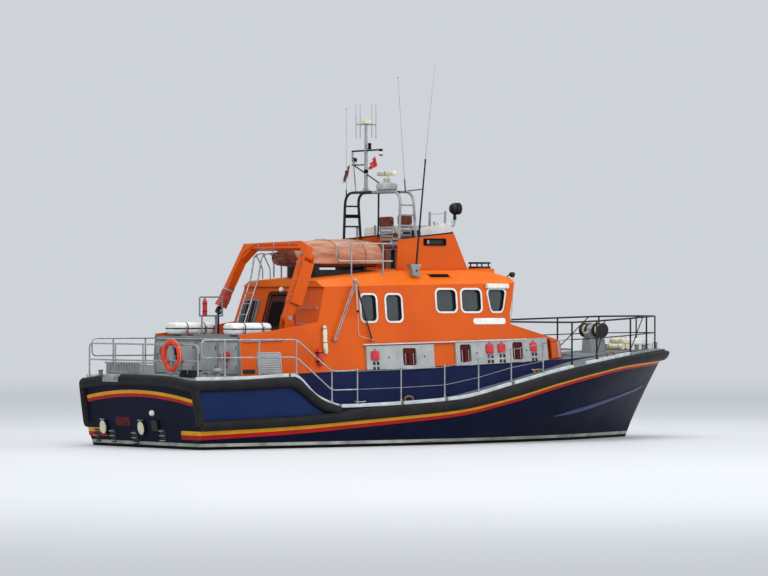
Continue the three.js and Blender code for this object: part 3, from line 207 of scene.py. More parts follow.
def glazing(name, tint, clear):
    paint = Paint(name)
    wave = paint.add("TexNoise", Vector=paint.place, Scale=2.5).outputs["Fac"]
    colour = paint.ramp(wave, tint, [min(c + 24, 255) for c in tint])
    paint.fill(paint.shader, {"Base Color": colour, "Roughness": 0.06, "Transmission Weight": clear,
                              "IOR": 1.35})
    return paint.made


MATERIALS["window"] = glazing("window_glass", (40, 54, 58), 0.6)
MATERIALS["screen"] = glazing("screen_plastic", (226, 222, 220), 0.6)
MATERIALS["lens"] = glazing("lamp_glass", (190, 196, 200), 0.5)


# Shapes
def mix(a, b, t):
    return a + (b - a) * t


def spread(start, end, count):
    """Evenly spaced values from start to end."""
    return [mix(start, end, i / count) for i in range(count + 1)]


def circle(count, start=0):
    """Angles that go once round."""
    return [2 * math.pi * (i + start) / count for i in range(count)]


def smooth_through(places, values):
    """A curve through the values that never overshoots them."""
    gaps = [b - a for a, b in zip(places, places[1:])]
    slopes = [(b - a) / gap for a, b, gap in zip(values, values[1:], gaps)]
    inner = [0 if p * q <= 0 else 2 * p * q / (p + q) for p, q in zip(slopes, slopes[1:])]
    tangents = [slopes[0], *inner, slopes[-1]]

    def at(x):
        i = min(max(bisect.bisect_right(places, x) - 1, 0), len(gaps) - 1)
        t = (x - places[i]) / gaps[i]
        bend = t * (1 - t) * gaps[i] * (tangents[i] * (1 - t) - tangents[i + 1] * t)
        return mix(values[i], values[i + 1], t * t * (3 - 2 * t)) + bend
    return at


def rounded(a0, a1, b0, b1, r, steps=5):
    """A rectangle with round corners, as points that go round it."""
    corners = ((a1 - r, b1 - r, 0), (a0 + r, b1 - r, 90), (a0 + r, b0 + r, 180), (a1 - r, b0 + r, 270))
    turns = [i * 90 / steps for i in range(steps + 1)]
    return [(a + r * math.cos(math.radians(start + turn)), b + r * math.sin(math.radians(start + turn)))
            for a, b, start in corners for turn in turns]


LARGEST_FILLET = 0.45  # of the length between two corners


def filleted(points, radius, steps=5):
    """A path with its corners rounded off."""
    points = [Vector(p) for p in points]
    path = [points[0]]
    for before, at, after in zip(points, points[1:], points[2:]):
        back, ahead = before - at, after - at
        reach = min(radius, back.length * LARGEST_FILLET, ahead.length * LARGEST_FILLET)
        start, end = at + back.normalized() * reach, at + ahead.normalized() * reach
        for i in range(steps + 1):
            t = i / steps
            path.append(start * (1 - t) ** 2 + at * 2 * t * (1 - t) + end * t * t)
    return [*path, points[-1]]


def flowing(points, steps=4):
    """A smooth curve through the points."""
    points = [Vector(p) for p in points]
    padded = [points[0] * 2 - points[1], *points, points[-1] * 2 - points[-2]]
    path = []
    for a, b, c, d in zip(padded, padded[1:], padded[2:], padded[3:]):
        for i in range(steps):
            t = i / steps
            path.append(0.5 * (2 * b + (c - a) * t + (2 * a - 5 * b + 4 * c - d) * t * t
                               + (3 * b - a - 3 * c + d) * t ** 3))
    return [*path, points[-1]]


CLOSE = 0.00005  # points nearer than this are one point
THINNEST = 0.0004  # the radius that stands for a point on an axis
SHARP = math.radians(35)  # edges sharper than this are rounded off


class Shape:
    """A mesh gathered from simple closed forms. A form's mark is its place in the list of materials."""

    def __init__(self):
        self.points, self.faces, self.marks = [], [], []

    def loft(self, rings, mark=0, caps=True, looped=False, row_marks=None):
        start, count = len(self.points), len(rings[0])
        self.points += [Vector(p) for ring in rings for p in ring]
        spans = len(rings) if looped else len(rings) - 1
        for i in range(spans):
            for j in range(count):
                here, ahead = start + i * count, start + (i + 1) % len(rings) * count
                k = (j + 1) % count
                self.faces.append((here + j, here + k, ahead + k, ahead + j))
                self.marks.append(row_marks[j] if row_marks else mark)
        if caps and not looped:
            last = start + (len(rings) - 1) * count
            self.faces += [tuple(range(start, start + count)), tuple(range(last, last + count))]
            self.marks += [mark, mark]
        return self

    def tube(self, path, r, mark=0, sides=10, fillet=0.0, looped=False, flat=1.0):
        """A round bar along a path; r may be a list, and flat squeezes it across the first bend."""
        path = filleted(path, fillet) if fillet else [Vector(p) for p in path]
        radii = r if isinstance(r, (list, tuple)) else [r] * len(path)
        rings, across = [], None
        for i, at in enumerate(path):
            before = path[i - 1] if i or looped else at
            after = path[(i + 1) % len(path)] if i + 1 < len(path) or looped else at
            along = (after - before).normalized()
            if across is None:
                across = Vector((0, 0, 1)) if abs(along.z) < 0.9 else Vector((1, 0, 0))
            across = (across - along * across.dot(along)).normalized()
            beside = along.cross(across)
            rings.append([at + (across * math.cos(a) + beside * math.sin(a) * flat) * radii[i]
                          for a in circle(sides, 0.5)])
        return self.loft(rings, mark, looped=looped)

    def box(self, low, high, mark=0, turn=None):
        ring = [(low[0], low[1]), (high[0], low[1]), (high[0], high[1]), (low[0], high[1])]
        rings = [[Vector((x, y, z)) for x, y in ring] for z in (low[2], high[2])]
        if turn:
            rings = [[turn @ p for p in ring] for ring in rings]
        return self.loft(rings, mark)

    def plate(self, outline, place, depths, mark=0, hole=None):
        """A flat piece, or a flat ring where it has a hole, laid by a function of a, b and depth."""
        back, front = depths
        if hole:
            rings = [[place(a, b, back) for a, b in outline], [place(a, b, front) for a, b in outline],
                     [place(a, b, front) for a, b in hole], [place(a, b, back) for a, b in hole]]
            return self.loft(rings, mark, looped=True)
        return self.loft([[place(a, b, d) for a, b in outline] for d in (back, front)], mark)

    def turned(self, profile, centre, axis=(0, 0, 1), mark=0, sides=24):
        """A profile of radius and height, turned about an axis."""
        axis = Vector(axis).normalized()
        across = axis.orthogonal().normalized()
        beside = axis.cross(across)
        rings = []
        for radius, height in profile:
            rings.append([Vector(centre) + axis * height + (across * math.cos(a) + beside * math.sin(a))
                          * max(radius, THINNEST) for a in circle(sides)])
        return self.loft(rings, mark)

    def disc(self, r, low, high, centre, axis=(0, 0, 1), mark=0, sides=24):
        """A cylinder between two heights over its centre."""
        return self.turned(((0, low), (r, low), (r, high), (0, high)), centre, axis, mark, sides)

    def ball(self, centre, r, mark=0):
        turns = [math.pi * i / 10 for i in range(11)]
        return self.turned([(r * math.sin(a), -r * math.cos(a)) for a in turns], centre, mark=mark, sides=16)

    def slab(self, outline, heights, mark=0):
        """A flat block with round corners between heights."""
        return self.loft([[(x, y, z) for x, y in rounded(*outline)] for z in heights], mark)

    def staple(self, start, end, out, r, mark, **how):
        """A bar that stands off from its two feet."""
        start, end, out = Vector(start), Vector(end), Vector(out)
        return self.tube([start, start + out, end + out, end], r, mark, **how)

    def grid(self, rows, mark_of):
        """An open sheet through rows of points; mark_of gives a face's mark from its row and column."""
        first, width = len(self.points), len(rows[0])
        self.points += [Vector(p) for row in rows for p in row]
        for i in range(len(rows) - 1):
            for j in range(width - 1):
                a = first + i * width + j
                self.faces.append((a, a + 1, a + width + 1, a + width))
                self.marks.append(mark_of(i, j))
        return self

    def make(self, name, materials, node=None, body="boat", slot=None, smooth=32, bevel=0.0):
        """The piece on its body, which stands in for a CAD node where one is named."""
        data = bpy.data.meshes.new(name)
        data.from_pydata(self.points, [], self.faces)
        for material in materials:
            data.materials.append(MATERIALS[material])
        for face, mark in zip(data.polygons, self.marks):
            face.material_index = mark
            face.use_smooth = True
        work = bmesh.new()
        work.from_mesh(data)
        bmesh.ops.remove_doubles(work, verts=work.verts, dist=CLOSE)
        bmesh.ops.recalc_face_normals(work, faces=work.faces)
        for edge in work.edges:
            edge.smooth = len(edge.link_faces) == 2 and edge.calc_face_angle(0) < math.radians(smooth)
        work.to_mesh(data)
        work.free()
        piece = bpy.data.objects.new(name, data)
        bpy.context.scene.collection.objects.link(piece)
        if bevel:
            soften(piece, bevel)
        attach(piece, body)
        if node:
            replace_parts(piece, node)
        return piece


def both_sides(make):
    """Makes a piece for each side of the boat."""
    for name, side in SIDES:
        make(name, side)


def soften(piece, width, segments=2):
    edge = piece.modifiers.new("edges", "BEVEL")
    edge.width = width
    edge.segments = segments
    edge.limit_method = "ANGLE"
    edge.angle_limit = SHARP
    edge.harden_normals = True


def dress(node, material, width=0.008):
    """A CAD node keeps its shape and gets its finish and soft edges."""
    piece = frame["nodes"][node]
    piece.data.materials.clear()
    piece.data.materials.append(MATERIALS[material])
    if width:
        weld = piece.modifiers.new("weld", "WELD")
        weld.merge_threshold = CLOSE
        soften(piece, width)
    return piece


# Hull, from the table of its sections
MM = 0.001
SECTION_COLUMNS = ("keelX", "sheerX", "keelZ", "bilgeY", "bilgeZ", "chineY", "chineZ", "fenderY", "fenderLow",
                   "fenderTop", "sheerY", "sheerZ", "trunkY", "trunkZ", "crownZ")
SECTIONS = (
    (-8160, -8510, -520, 1750, -330, 2420, -20, 2570, 460, 720, 2550, 1720, 1900, 1770, 1850),
    (-7000, -7000, -680, 1800, -450, 2520, -10, 2670, 500, 760, 2630, 1730, 1990, 1780, 1850),
    (-5550, -5550, -820, 1850, -550, 2600, 0, 2730, 555, 815, 2670, 1790, 1990, 1835, 1870),
    (-4800, -4800, -870, 1870, -580, 2625, 5, 2745, 595, 860, 2710, 1230, 1990, 1860, 1900),
    (-4100, -4100, -900, 1880, -600, 2640, 10, 2765, 640, 900, 2745, 1000, 1990, 1880, 1920),
    (-2500, -2500, -970, 1900, -640, 2670, 50, 2790, 740, 1000, 2785, 1040, 1990, 1935, 1975),
    (-500, -500, -1000, 1850, -640, 2670, 180, 2780, 885, 1110, 2775, 1155, 1990, 2000, 2040),
    (1300, 1300, -1000, 1700, -580, 2600, 460, 2730, 1190, 1455, 2725, 1500, 1990, 2060, 2100),
    (3000, 3000, -980, 1420, -480, 2420, 740, 2570, 1550, 1800, 2560, 1840, 1790, 2110, 2150),
    (4300, 4300, -935, 1120, -400, 2030, 930, 2300, 1765, 1985, 2290, 2030, 1300, 2140, 2190),
    (5400, 5900, -870, 740, -270, 1400, 1180, 1750, 1950, 2160, 1745, 2205, 900, 2250, 2290),
    (6350, 7100, -740, 370, -60, 830, 1350, 1120, 2010, 2245, 1115, 2290, 560, 2325, 2350),
    (7000, 8000, -440, 140, 330, 330, 1440, 520, 2035, 2270, 515, 2325, 240, 2345, 2360),
    (7270, 8600, 60, 35, 800, 45, 1480, 60, 2040, 2275, 62, 2330, 30, 2345, 2355),
)
STATIONS = [row[1] * MM for row in SECTIONS]
HULL = {name: smooth_through(STATIONS, [row[i] * MM for row in SECTIONS])
        for i, name in enumerate(SECTION_COLUMNS)}
STERN, BOW = STATIONS[0], STATIONS[-1]
BOW_LEAN = 1.15  # how hollow the stem is
STEP = 0.12
STRIPE = (0.215, 0.1)  # height of the two coloured bands together, at the stern and at the bow
LOWER_BAND = 0.52  # its share of that height
AFT_DECK, QUARTER_END = -5.3, -4.7  # aft of these: no coaming, and the quarter's paint over the fender
PLACES = spread(STERN, BOW, round((BOW - STERN) / STEP))


def section(x):
    return {name: curve(x) for name, curve in HULL.items()}


def hull_point(s, side, y, z):
    rise = max((z - s["keelZ"]) / (s["sheerZ"] - s["keelZ"]), 0)
    power = BOW_LEAN if s["sheerX"] > s["keelX"] + 0.001 else 1
    return Vector((mix(s["keelX"], s["sheerX"], rise ** power), side * y, z))


def stripe(x):
    """Height of the two coloured bands together, under the fender."""
    return mix(*STRIPE, (x - STERN) / (BOW - STERN))


def hull_rows(s, side):
    """Points of one side from the keel to the middle of the deck, each with the mark of what follows it:
    0 hull, 1 crimson, 2 yellow, 3 quarter, 4 deck, 5 coaming."""
    def on_side(z):
        t = (z - s["chineZ"]) / (s["fenderLow"] - s["chineZ"])
        return mix(s["chineY"], s["fenderY"], t), z

    band = stripe(s["sheerX"])
    aft = s["sheerX"] < AFT_DECK
    inner = (s["trunkY"] + 0.02 * s["sheerY"],
             min(s["sheerZ"] + 0.04 * (s["sheerY"] - s["trunkY"]), s["trunkZ"] - 0.006))
    rows = [((mix(0, s["bilgeY"], t), mix(s["keelZ"], s["bilgeZ"], t)), 0) for t in (0, 0.5)]
    rows += [((mix(s["bilgeY"], s["chineY"], t), mix(s["bilgeZ"], s["chineZ"], t)), 0)
             for t in (0, 0.33, 0.66)]
    low = s["fenderLow"] - band
    rows += [(on_side(mix(s["chineZ"], low, t)), 0) for t in (0, 0.3, 0.65)]
    rows += [(on_side(low), 1), (on_side(low + band * LOWER_BAND), 2), ((s["fenderY"], s["fenderLow"]), 0)]
    rows += [((s["fenderY"] + 0.004, s["fenderTop"]), 3 if s["sheerX"] < QUARTER_END else 0)]
    rows += [((s["sheerY"], s["sheerZ"]), 4), (inner, 4 if aft else 5),
             ((s["trunkY"], s["trunkZ"]), 4), ((0, s["crownZ"]), 4)]
    return [hull_point(s, side, y, z) for (y, z), _ in rows], [mark for _, mark in rows]


def make_hull():
    shape = Shape()
    for side in (-1, 1):
        rings = [hull_rows(section(x), side) for x in PLACES]
        shape.grid([points for points, _ in rings], lambda i, j: rings[i][1][j])
    width = len(rings[0][0])
    half = len(shape.points) // 2
    for first in (0, half - width):
        for j in range(width - 1):
            a = first + j
            shape.faces.append((a, a + 1, half + a + 1, half + a))
            shape.marks.append(4 if j >= width - 4 else 0)
    low, high = HATCH["x"], HATCH["y"]
    shape.box((low[0], -high, 2.15), (low[1], high, HATCH["z"]), 4)
    hull = shape.make("hull_shell", ["hull", "crimson", "yellow", "quarter", "deck", "coaming"],
                      slot="hull_navy", smooth=20)
    for _, side in SIDES:
        ends = [(x, side * TUNNEL["y"], TUNNEL["z"]) for x in TUNNEL["x"]]
        cut(hull, Shape().tube(ends, TUNNEL["r"], sides=40).make("tunnel", ["hull"]))
    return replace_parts(hull, "hull")


def cut(piece, tool):
    """Takes the tool's form out of the piece."""
    boolean = piece.modifiers.new("cut", "BOOLEAN")
    boolean.operation = "DIFFERENCE"
    boolean.solver = "EXACT"
    boolean.object = tool
    graph = bpy.context.evaluated_depsgraph_get()
    done = bpy.data.meshes.new_from_object(piece.evaluated_get(graph))
    piece.modifiers.remove(boolean)
    piece.data = done
    bpy.data.objects.remove(tool)


HATCH = {"x": (4.56, 5.16), "y": 0.3, "z": 2.345}
TUNNEL = {"x": (-5.35, -8.9), "y": 1.15, "z": -0.985, "r": 0.52}
make_hull()

# Fender belt from one corner of the stern round the bow to the other
FENDER_DEPTH = 0.17
FENDER_SECTION = ((0, -0.02), (0.0, 0.4), (0.08, 0.72), (0.24, 0.93), (0.5, 1), (0.76, 0.93), (0.92, 0.72),
                  (1.0, 0.4), (1, -0.02))


def make_belt():
    path = [(section(x), -1) for x in PLACES] + [(section(x), 1) for x in reversed(PLACES)]
    ends = []
    for s, side in path:
        top = s["fenderTop"] + (0.035 if s["sheerX"] > -4 else 0)
        ends.append((hull_point(s, side, s["fenderY"], s["fenderLow"]),
                     hull_point(s, side, s["fenderY"] + 0.004, top)))
    rings = []
    for i, (low, top) in enumerate(ends):
        before, after = ends[max(i - 1, 0)][0], ends[min(i + 1, len(ends) - 1)][0]
        out = Vector((after.y - before.y, before.x - after.x, 0)).normalized()
        rings.append([low.lerp(top, up) + out * FENDER_DEPTH * reach for up, reach in FENDER_SECTION])
    belt = Shape().loft(rings).make("fender_belt_rubber", ["rubber"], slot="fender_rubber", smooth=40)
    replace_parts(belt, "fender_belt")


make_belt()

QUARTER = ((-4.25, 2.755, 0.905), (-4.8, 2.725, 1.085), (-5.2, 2.7, 1.37), (-5.55, 2.68, 1.6),
           (-5.9, 2.67, 1.645), (-7.0, 2.64, 1.6), (-8.3, 2.565, 1.575), (-8.45, 2.5, 1.58),
           (-8.5, 2.35, 1.59), (-8.505, 1.3, 1.68))
CORNER = ((-8.315, 2.585, 0.6), (-8.4, 2.565, 1.1), (-8.47, 2.545, 1.56))
QUARTER_R, CORNER_R = 0.14, 0.115


def make_quarter():
    half = [(x, -y, z) for x, y, z in QUARTER]
    path = flowing([*half, (-8.505, 0, 1.705), *[(x, -y, z) for x, y, z in reversed(half)]], 5)
    shape = Shape().tube(path, QUARTER_R, sides=16)
    for _, side in SIDES:
        shape.tube(flowing([(x, side * y, z) for x, y, z in CORNER]), CORNER_R, sides=14)
    shape.make("fender_quarter_rubber", ["rubber"], "fender_quarter", slot="fender_rubber", smooth=50)


make_quarter()

# Toe rails, in lengths with gaps between them for the water to run off
TOE = {"inset": 0.028, "width": 0.075, "height": 0.085}
TOE_LENGTHS = ((-8.4, -5.7), (-5.62, -4.2), (-4.12, -2.3), (-2.2, -0.9), (-0.8, 1.3), (1.4, 3.55),
               (4.05, 6.1))
TOE_FORE = (6.15, 8.2)


def deck_edge(x, side, inset, up):
    s = section(x)
    inset = min(inset, 0.4 * s["sheerY"])
    return Vector((x, side * (s["sheerY"] - inset), s["sheerZ"] + up))


def toe_strip(shape, side, start, end, mark, height):
    count = max(round((end - start) / STEP), 2)
    outer, inner = TOE["inset"], TOE["inset"] + TOE["width"]
    corners = ((outer, -0.04), (outer, height - 0.012), (outer + 0.012, height), (inner - 0.012, height),
               (inner, height - 0.012), (inner, -0.04))
    places = spread(start, end, count)
    shape.loft([[deck_edge(x, side, inset, up) for inset, up in corners] for x in places], mark)


def make_toe_rail(name, side):
    shape = Shape()
    for start, end in TOE_LENGTHS:
        toe_strip(shape, side, start, end, 0, TOE["height"])
    toe_strip(shape, side, *TOE_FORE, 1, 0.05)
    shape.make(f"toe_rail_strips_{name}", ["toe", "grey"], f"toe_rail_{name}", slot="white_paint", smooth=50)


both_sides(make_toe_rail)

# Finish of the pieces whose solids already have their true form
CAD_FINISH = (
    ("antifoul", 0.02, "keel"), ("antifoul", 0.015, "bilge_keel_*"), ("bronze", 0.01, "rudder_*"),
    # The roof's slope takes the lighter orange of painted light.
    ("bronze", 0.004, "propeller_*"), ("chamfer", 0, "wheelhouse_roof"),
    ("orange", 0.01, "aft_casing davit_arm"), ("orange", 0.008, "wheelhouse_aft flybridge_coaming"),
    ("orange", 0.006, "wheelhouse_side_* wheelhouse_front"),
    ("orange", 0.012, "forward_trunk davit_jib"), ("orange", 0.004, "davit_pedestal"),
    # The door's solid is dressed near-black, painted shade of the doorway.
    ("dark", 0.006, "wheelhouse_door"), ("window", 0, "window_glass_* window_glass_front"),
    # The cradle under the tender is dressed black, painted shade under the tender.
    ("screen", 0, "flybridge_windscreen"), ("black", 0.008, "tender_cradle"),
    ("grey", 0.01, "helm_console flybridge_console foredeck_hatch engine_hatch"),
)
for material, width, nodes in CAD_FINISH:
    for node in nodes.split():
        for name, _ in SIDES if "*" in node else SIDES[:1]:
            dress(node.replace("*", name), material, width)


# Guard rails
RAIL = 0.021
WIRE = 0.008
WIRE_DROPS = (0.02, 0.48)
POST_INSET = TOE["inset"] + TOE["width"] / 2
SOCKET = ((0.0, 0), (0.048, 0), (0.048, 0.012), (0.03, 0.022), (0.027, 0.07), (0.0, 0.07))
STANCHIONS = ((-3.63, 1.93), (-2.28, 1.96), (-0.89, 2.01), (0.21, 2.19), (1.3, 2.43), (2.42, 2.59))
AFT_RAIL = {"gate": -8.24, "posts": (-7.57, -6.56, -5.45), "top": 2.72, "mid": 2.28,
            "low": ((-4.4, 1.91), (-4.4, 1.44))}
BOW_POSTS = ((3.5, 3.11), (4.53, 3.14), (6.15, 3.2), (7.15, 3.24))
BOW_NOSE = ((7.95, 0.4), (8.05, 0.2), (8.05, 0.0))
STERN_RAIL = {"x": -8.33, "half": 2.48, "top": 2.6, "mid": 2.19, "posts": (-1.27, 0, 1.27)}
ROOF_RAIL = {"x": (-3.36, -1.6), "y": 1.42, "z": (4.7, 5.15), "posts": ((-2.9, 4.28), (-1.9, 4.36))}
LADDER = {"y": (0.7, 1.04), "rungs": (3.05, 3.33, 3.61, 3.89, 4.17), "stile": (
    (-4.88, 2.79), (-4.32, 4.25), (-4.22, 4.8), (-4.08, 4.9), (-3.7, 4.9), (-3.6, 4.8), (-3.6, 4.28))}


def rail_point(x, side, z):
    return Vector((x, side * (section(x)["sheerY"] - POST_INSET), z))


def rail_post(shape, x, side, top, r=RAIL):
    foot = deck_edge(x, side, POST_INSET, TOE["height"] - 0.006)
    shape.tube([foot, (foot.x, foot.y, top)], r)
    shape.turned(SOCKET, foot, sides=14)


def make_stern_rail():
    x, half, top, mid = (STERN_RAIL[key] for key in ("x", "half", "top", "mid"))
    deck = section(x)["sheerZ"]
    shape = Shape()
    shape.tube([(x, -half, deck), (x, -half, top), (x, half, top), (x, half, deck)], RAIL, fillet=0.14)
    shape.tube([(x, -half, mid), (x, half, mid)], RAIL)
    for y in STERN_RAIL["posts"]:
        shape.tube([(x, y, deck), (x, y, top)], RAIL)
    for y in (-half, *STERN_RAIL["posts"], half):
        shape.turned(SOCKET, (x, y, deck + 0.01), sides=14)
    shape.make("stern_rail_tubes", ["steel"], "stern_rail", slot="stainless", smooth=50)


def make_side_rail(name, side):
    gate, top, mid, low = (AFT_RAIL[key] for key in ("gate", "top", "mid", "low"))
    end = AFT_RAIL["posts"][-1]
    first_x, first_top = STANCHIONS[0]
    route = ((first_x, first_top), low[0], (end, top), (gate, top), (gate, mid), (end, mid), low[1],
             (first_x, first_top - WIRE_DROPS[1]))
    shape = Shape().tube([rail_point(x, side, z) for x, z in route], RAIL - 0.002, fillet=0.13)
    for x in AFT_RAIL["posts"]:
        rail_post(shape, x, side, top)
    rail_post(shape, low[0][0], side, low[0][1])
    for x, z in STANCHIONS:
        rail_post(shape, x, side, z)
        shape.ball(rail_point(x, side, z + 0.012), 0.03)
    for drop in WIRE_DROPS:
        shape.tube([rail_point(x, side, z - drop) for x, z in STANCHIONS], WIRE, sides=6)
    shape.make(f"side_rail_tubes_{name}", ["steel"], f"side_rail_{name}", slot="stainless", smooth=50)


def make_bow_rail(name, side):
    shape = Shape()
    top = [Vector((1.87, side * 1.715, 3.13)), *[rail_point(x, side, z) for x, z in BOW_POSTS]]
    mid = [rail_point(x, side, z - 0.45) for x, z in BOW_POSTS]
    for path, nose_z, r in ((top, 3.25, RAIL + 0.003), (mid, 2.8, RAIL - 0.006)):
        shape.tube([*path, *[Vector((x, side * y, nose_z)) for x, y in BOW_NOSE]], r, fillet=0.2)
    for x, z in BOW_POSTS:
        rail_post(shape, x, side, z, r=RAIL + 0.003)
    x, y = BOW_NOSE[0]
    shape.tube([(x, side * y, 2.3), (x, side * y, 3.25)], RAIL)
    last_x, last_top = STANCHIONS[-1]
    post_x, post_top = BOW_POSTS[0]
    for aft_drop, fore_drop in zip(WIRE_DROPS, (0.43, 0.87)):
        shape.tube([rail_point(last_x, side, last_top - aft_drop),
                    rail_point(post_x, side, post_top - fore_drop)], WIRE, sides=6)
    for high, low in (((6.9, 3.22), (6.2, 2.42)), ((4.9, 3.15), (4.55, 2.3))):
        shape.tube([rail_point(x, side, z) for x, z in (high, low)], 0.014)
    shape.make(f"bow_rail_tubes_{name}", ["black"], f"bow_rail_{name}", slot="black_paint", smooth=50)


def make_roof_rail(name, side):
    y, (aft, fore), (low, top) = side * ROOF_RAIL["y"], ROOF_RAIL["x"], ROOF_RAIL["z"]
    shape = Shape().tube([(fore, y, top), (aft, y, top), (aft, y, low), (fore, y, low)], RAIL, fillet=0.12)
    for x, foot in ROOF_RAIL["posts"]:
        shape.tube([(x, y, foot), (x, y, top)], RAIL)
        shape.turned(SOCKET, (x, y, foot), sides=14)
    shape.make(f"roof_rail_tubes_{name}", ["steel"], f"roof_rail_{name}", slot="stainless", smooth=50)


def make_ladder():
    shape = Shape()
    for y in LADDER["y"]:
        shape.tube([(x, y, z) for x, z in LADDER["stile"]], RAIL, fillet=0.12)
        shape.tube([(-4.16, y, 4.87), (-3.95, y, 4.5), (-3.95, y, 4.24)], RAIL - 0.004, fillet=0.1)
    for z in LADDER["rungs"]:
        x = mix(-4.88, -4.32, (z - 2.78) / 1.47)
        shape.box((x - 0.035, LADDER["y"][0], z - 0.012), (x + 0.035, LADDER["y"][1], z + 0.012))
    shape.make("roof_ladder_tubes", ["steel"], "roof_ladder", slot="stainless", smooth=50)


make_stern_rail()
make_ladder()
for name, side in SIDES:
    make_side_rail(name, side)
    make_bow_rail(name, side)
    make_roof_rail(name, side)

# Mast arch, with its whips
ARCH = {"y": 1.22, "top": 6.5, "r": 0.036, "fore": (-0.7, -0.79), "aft": (-1.24, -1.19)}
PLATFORM = ((-1.19, -0.79), (-0.7, 0.76))
RUNGS = (5.62, 5.89, 6.15)
TALL_WHIP = ((-1.0, -1.62, 4.44), (-0.69, -1.615, 7.28), (-0.38, -1.61, 9.74))
WHIPS = (((-1.19, 1.18, 6.3), (-1.18, 1.19, 8.7)), ((-0.872, -1.0, 6.47), (-1.11, -1.0, 9.44)))


def coaming_top(x):
    return mix(5.26, 5.43, (x + 1.29) / 1.795)


def leg_x(leg, z):
    foot, top = ARCH[leg]
    return mix(foot, top, (z - 5.3) / (ARCH["top"] - 5.3))


def make_arch():
    shape = Shape()
    y, top, r = ARCH["y"], ARCH["top"], ARCH["r"]
    for leg in ("fore", "aft"):
        foot, head = ARCH[leg]
        # The starboard legs are alloy; the port legs, on the shaded side, are drawn black as painted shade.
        for side, mark in ((-1, 0), (1, 1)):
            at = (foot, side * y, coaming_top(foot))
            shape.tube([at, (head, side * y, top), (head, 0, top)], r, mark, sides=14, fillet=0.34)
            shape.disc(0.075, 0, 0.014, at, mark=mark, sides=16)
    # Rungs likewise: alloy to starboard, black to port as painted shade.
    for side, mark in ((-1, 0), (1, 1)):
        for z in RUNGS:
            plate = side > 0 and z == RUNGS[1]  # a dark step in place of a rung
            shape.tube([(leg_x(leg, z), side * y, z) for leg in ("aft", "fore")], 0.05 if plate else 0.024,
                       4 if plate else mark)
    (x0, x1), (y0, y1) = PLATFORM
    shape.box((x0, y0, top - 0.02), (x1, y1, top + 0.022), 4)
    for y in (-0.5, -0.1, 0.3):
        shape.box((x0 - 0.02, y, top + 0.022), (x1 + 0.02, y + 0.03, top + 0.034), 0)
    shape.tube([(-0.76, -0.7, 6.51), (-0.76, -1.6, 6.56)], 0.02, 0)
    shape.tube([(-1.0, 0.02, 5.3), (-1.0, 0.0, 6.48)], 0.026, 1)
    whip = [Vector(p) for p in TALL_WHIP]
    shape.tube(whip[:2], [0.028, 0.02], 1)
    shape.tube(whip[1:], [0.011, 0.006], 2, sides=8)
    shape.tube([whip[1] - Vector((0.006, 0, 0.06)), whip[1] + Vector((0.006, 0, 0.05))], 0.024, 1)
    for low, high in WHIPS:
        low, high = Vector(low), Vector(high)
        shape.tube([low, low.lerp(high, 0.12)], 0.016, 1, sides=8)
        shape.tube([low.lerp(high, 0.11), high], [0.009, 0.005], 2, sides=8)
        shape.ball(high, 0.014, 1)
    shape.tube([(-0.79, -1.0, 6.49), (-0.885, -1.0, 6.49)], 0.014, 0)
    shape.box((-1.12, -1.66, 4.33), (-0.88, -1.54, 4.45), 3)
    shape.turned(((0, 0), (0.06, 0), (0.05, 0.1), (0.034, 0.12), (0, 0.12)), whip[0], mark=1)
    shape.make("mast_arch_tubes", ["alloy", "black", "steel", "grey", "dark"], "mast_arch", slot="grey_paint",
               smooth=50)


POLE = {"x": -1.19, "y": 0.3, "foot": 6.522, "head": 8.33}
CROSS = POLE["head"] - 0.06
POLE_BARS = (((0, 0.62, 7.58), (0, -0.71, 7.6), 0.024, 1), ((0, 0, 7.22), (0, 0.62, 7.22), 0.018, 1),
             ((0, 0.6, 7.57), (0, 0.45, POLE["foot"]), 0.02, 0),
             ((0, 0.5, 7.2), (0.04, -0.7, 6.66), 0.018, 1),
             ((-0.32, 0, CROSS), (0.32, 0, CROSS), 0.018, 0), ((0, -0.26, CROSS), (0, 0.26, CROSS), 0.018, 0))
AERIALS = ((-0.32, 0), (0.32, 0), (0, -0.26), (0, 0.26))


def make_pole():
    x, y, foot, head = (POLE[key] for key in ("x", "y", "foot", "head"))
    shape = Shape().tube([(x, y, foot), (x, y, 7.3), (x, y, head)], [0.05, 0.045, 0.036], 0, sides=16)
    shape.box((x - 0.11, y - 0.11, foot), (x + 0.11, y + 0.11, foot + 0.02), 0)
    for turn in circle(4, 0.5):
        reach = Vector((math.cos(turn), math.sin(turn), 0)) * 0.1
        shape.tube([Vector((x, y, foot + 0.16)), Vector((x, y, foot + 0.015)) + reach], 0.012, 0)
    for start, end, r, mark in POLE_BARS:
        shape.tube([(x + dx, y + dy, z) for dx, dy, z in (start, end)], r, mark)
    for dx, dy in AERIALS:
        shape.tube([(x + dx, y + dy, head - 0.42), (x + dx, y + dy, head - 0.04)], 0.012, 0, sides=8)
        shape.tube([(x + dx, y + dy, head - 0.05), (x + dx, y + dy, 8.8)], [0.01, 0.006], 0, sides=8)
    shape.box((x - 0.1, y - 0.09, head - 0.04), (x + 0.12, y + 0.09, head + 0.06), 2)
    lamp = ((0, 0), (0.05, 0), (0.05, 0.03), (0.042, 0.03), (0.042, 0.12), (0.05, 0.12), (0.05, 0.15),
            (0, 0.17))
    for dy, z in ((-0.16, 7.62), (-0.66, 7.44)):
        shape.turned(lamp, (x, y + dy, z), mark=3, sides=16)
    shape.disc(0.043, 0, 0.08, (x, y - 0.66, 7.475), mark=2, sides=16)
    shape.turned(((0, 0), (0.06, 0), (0.055, 0.09), (0, 0.11)), (x, y, 7.0), mark=3, sides=16)
    shape.make("mast_pole_tubes", ["alloy", "black", "cream", "dark"], "mast_pole", slot="grey_paint",
               smooth=50, bevel=0.003)


make_arch()
make_pole()

# Radar: a ribbed housing, and the bar that turns on it
RADAR = {"x": -0.98, "y": -0.33, "foot": 6.5333, "neck": 0.32, "half": 0.6, "bar": 0.45, "turned": -15}


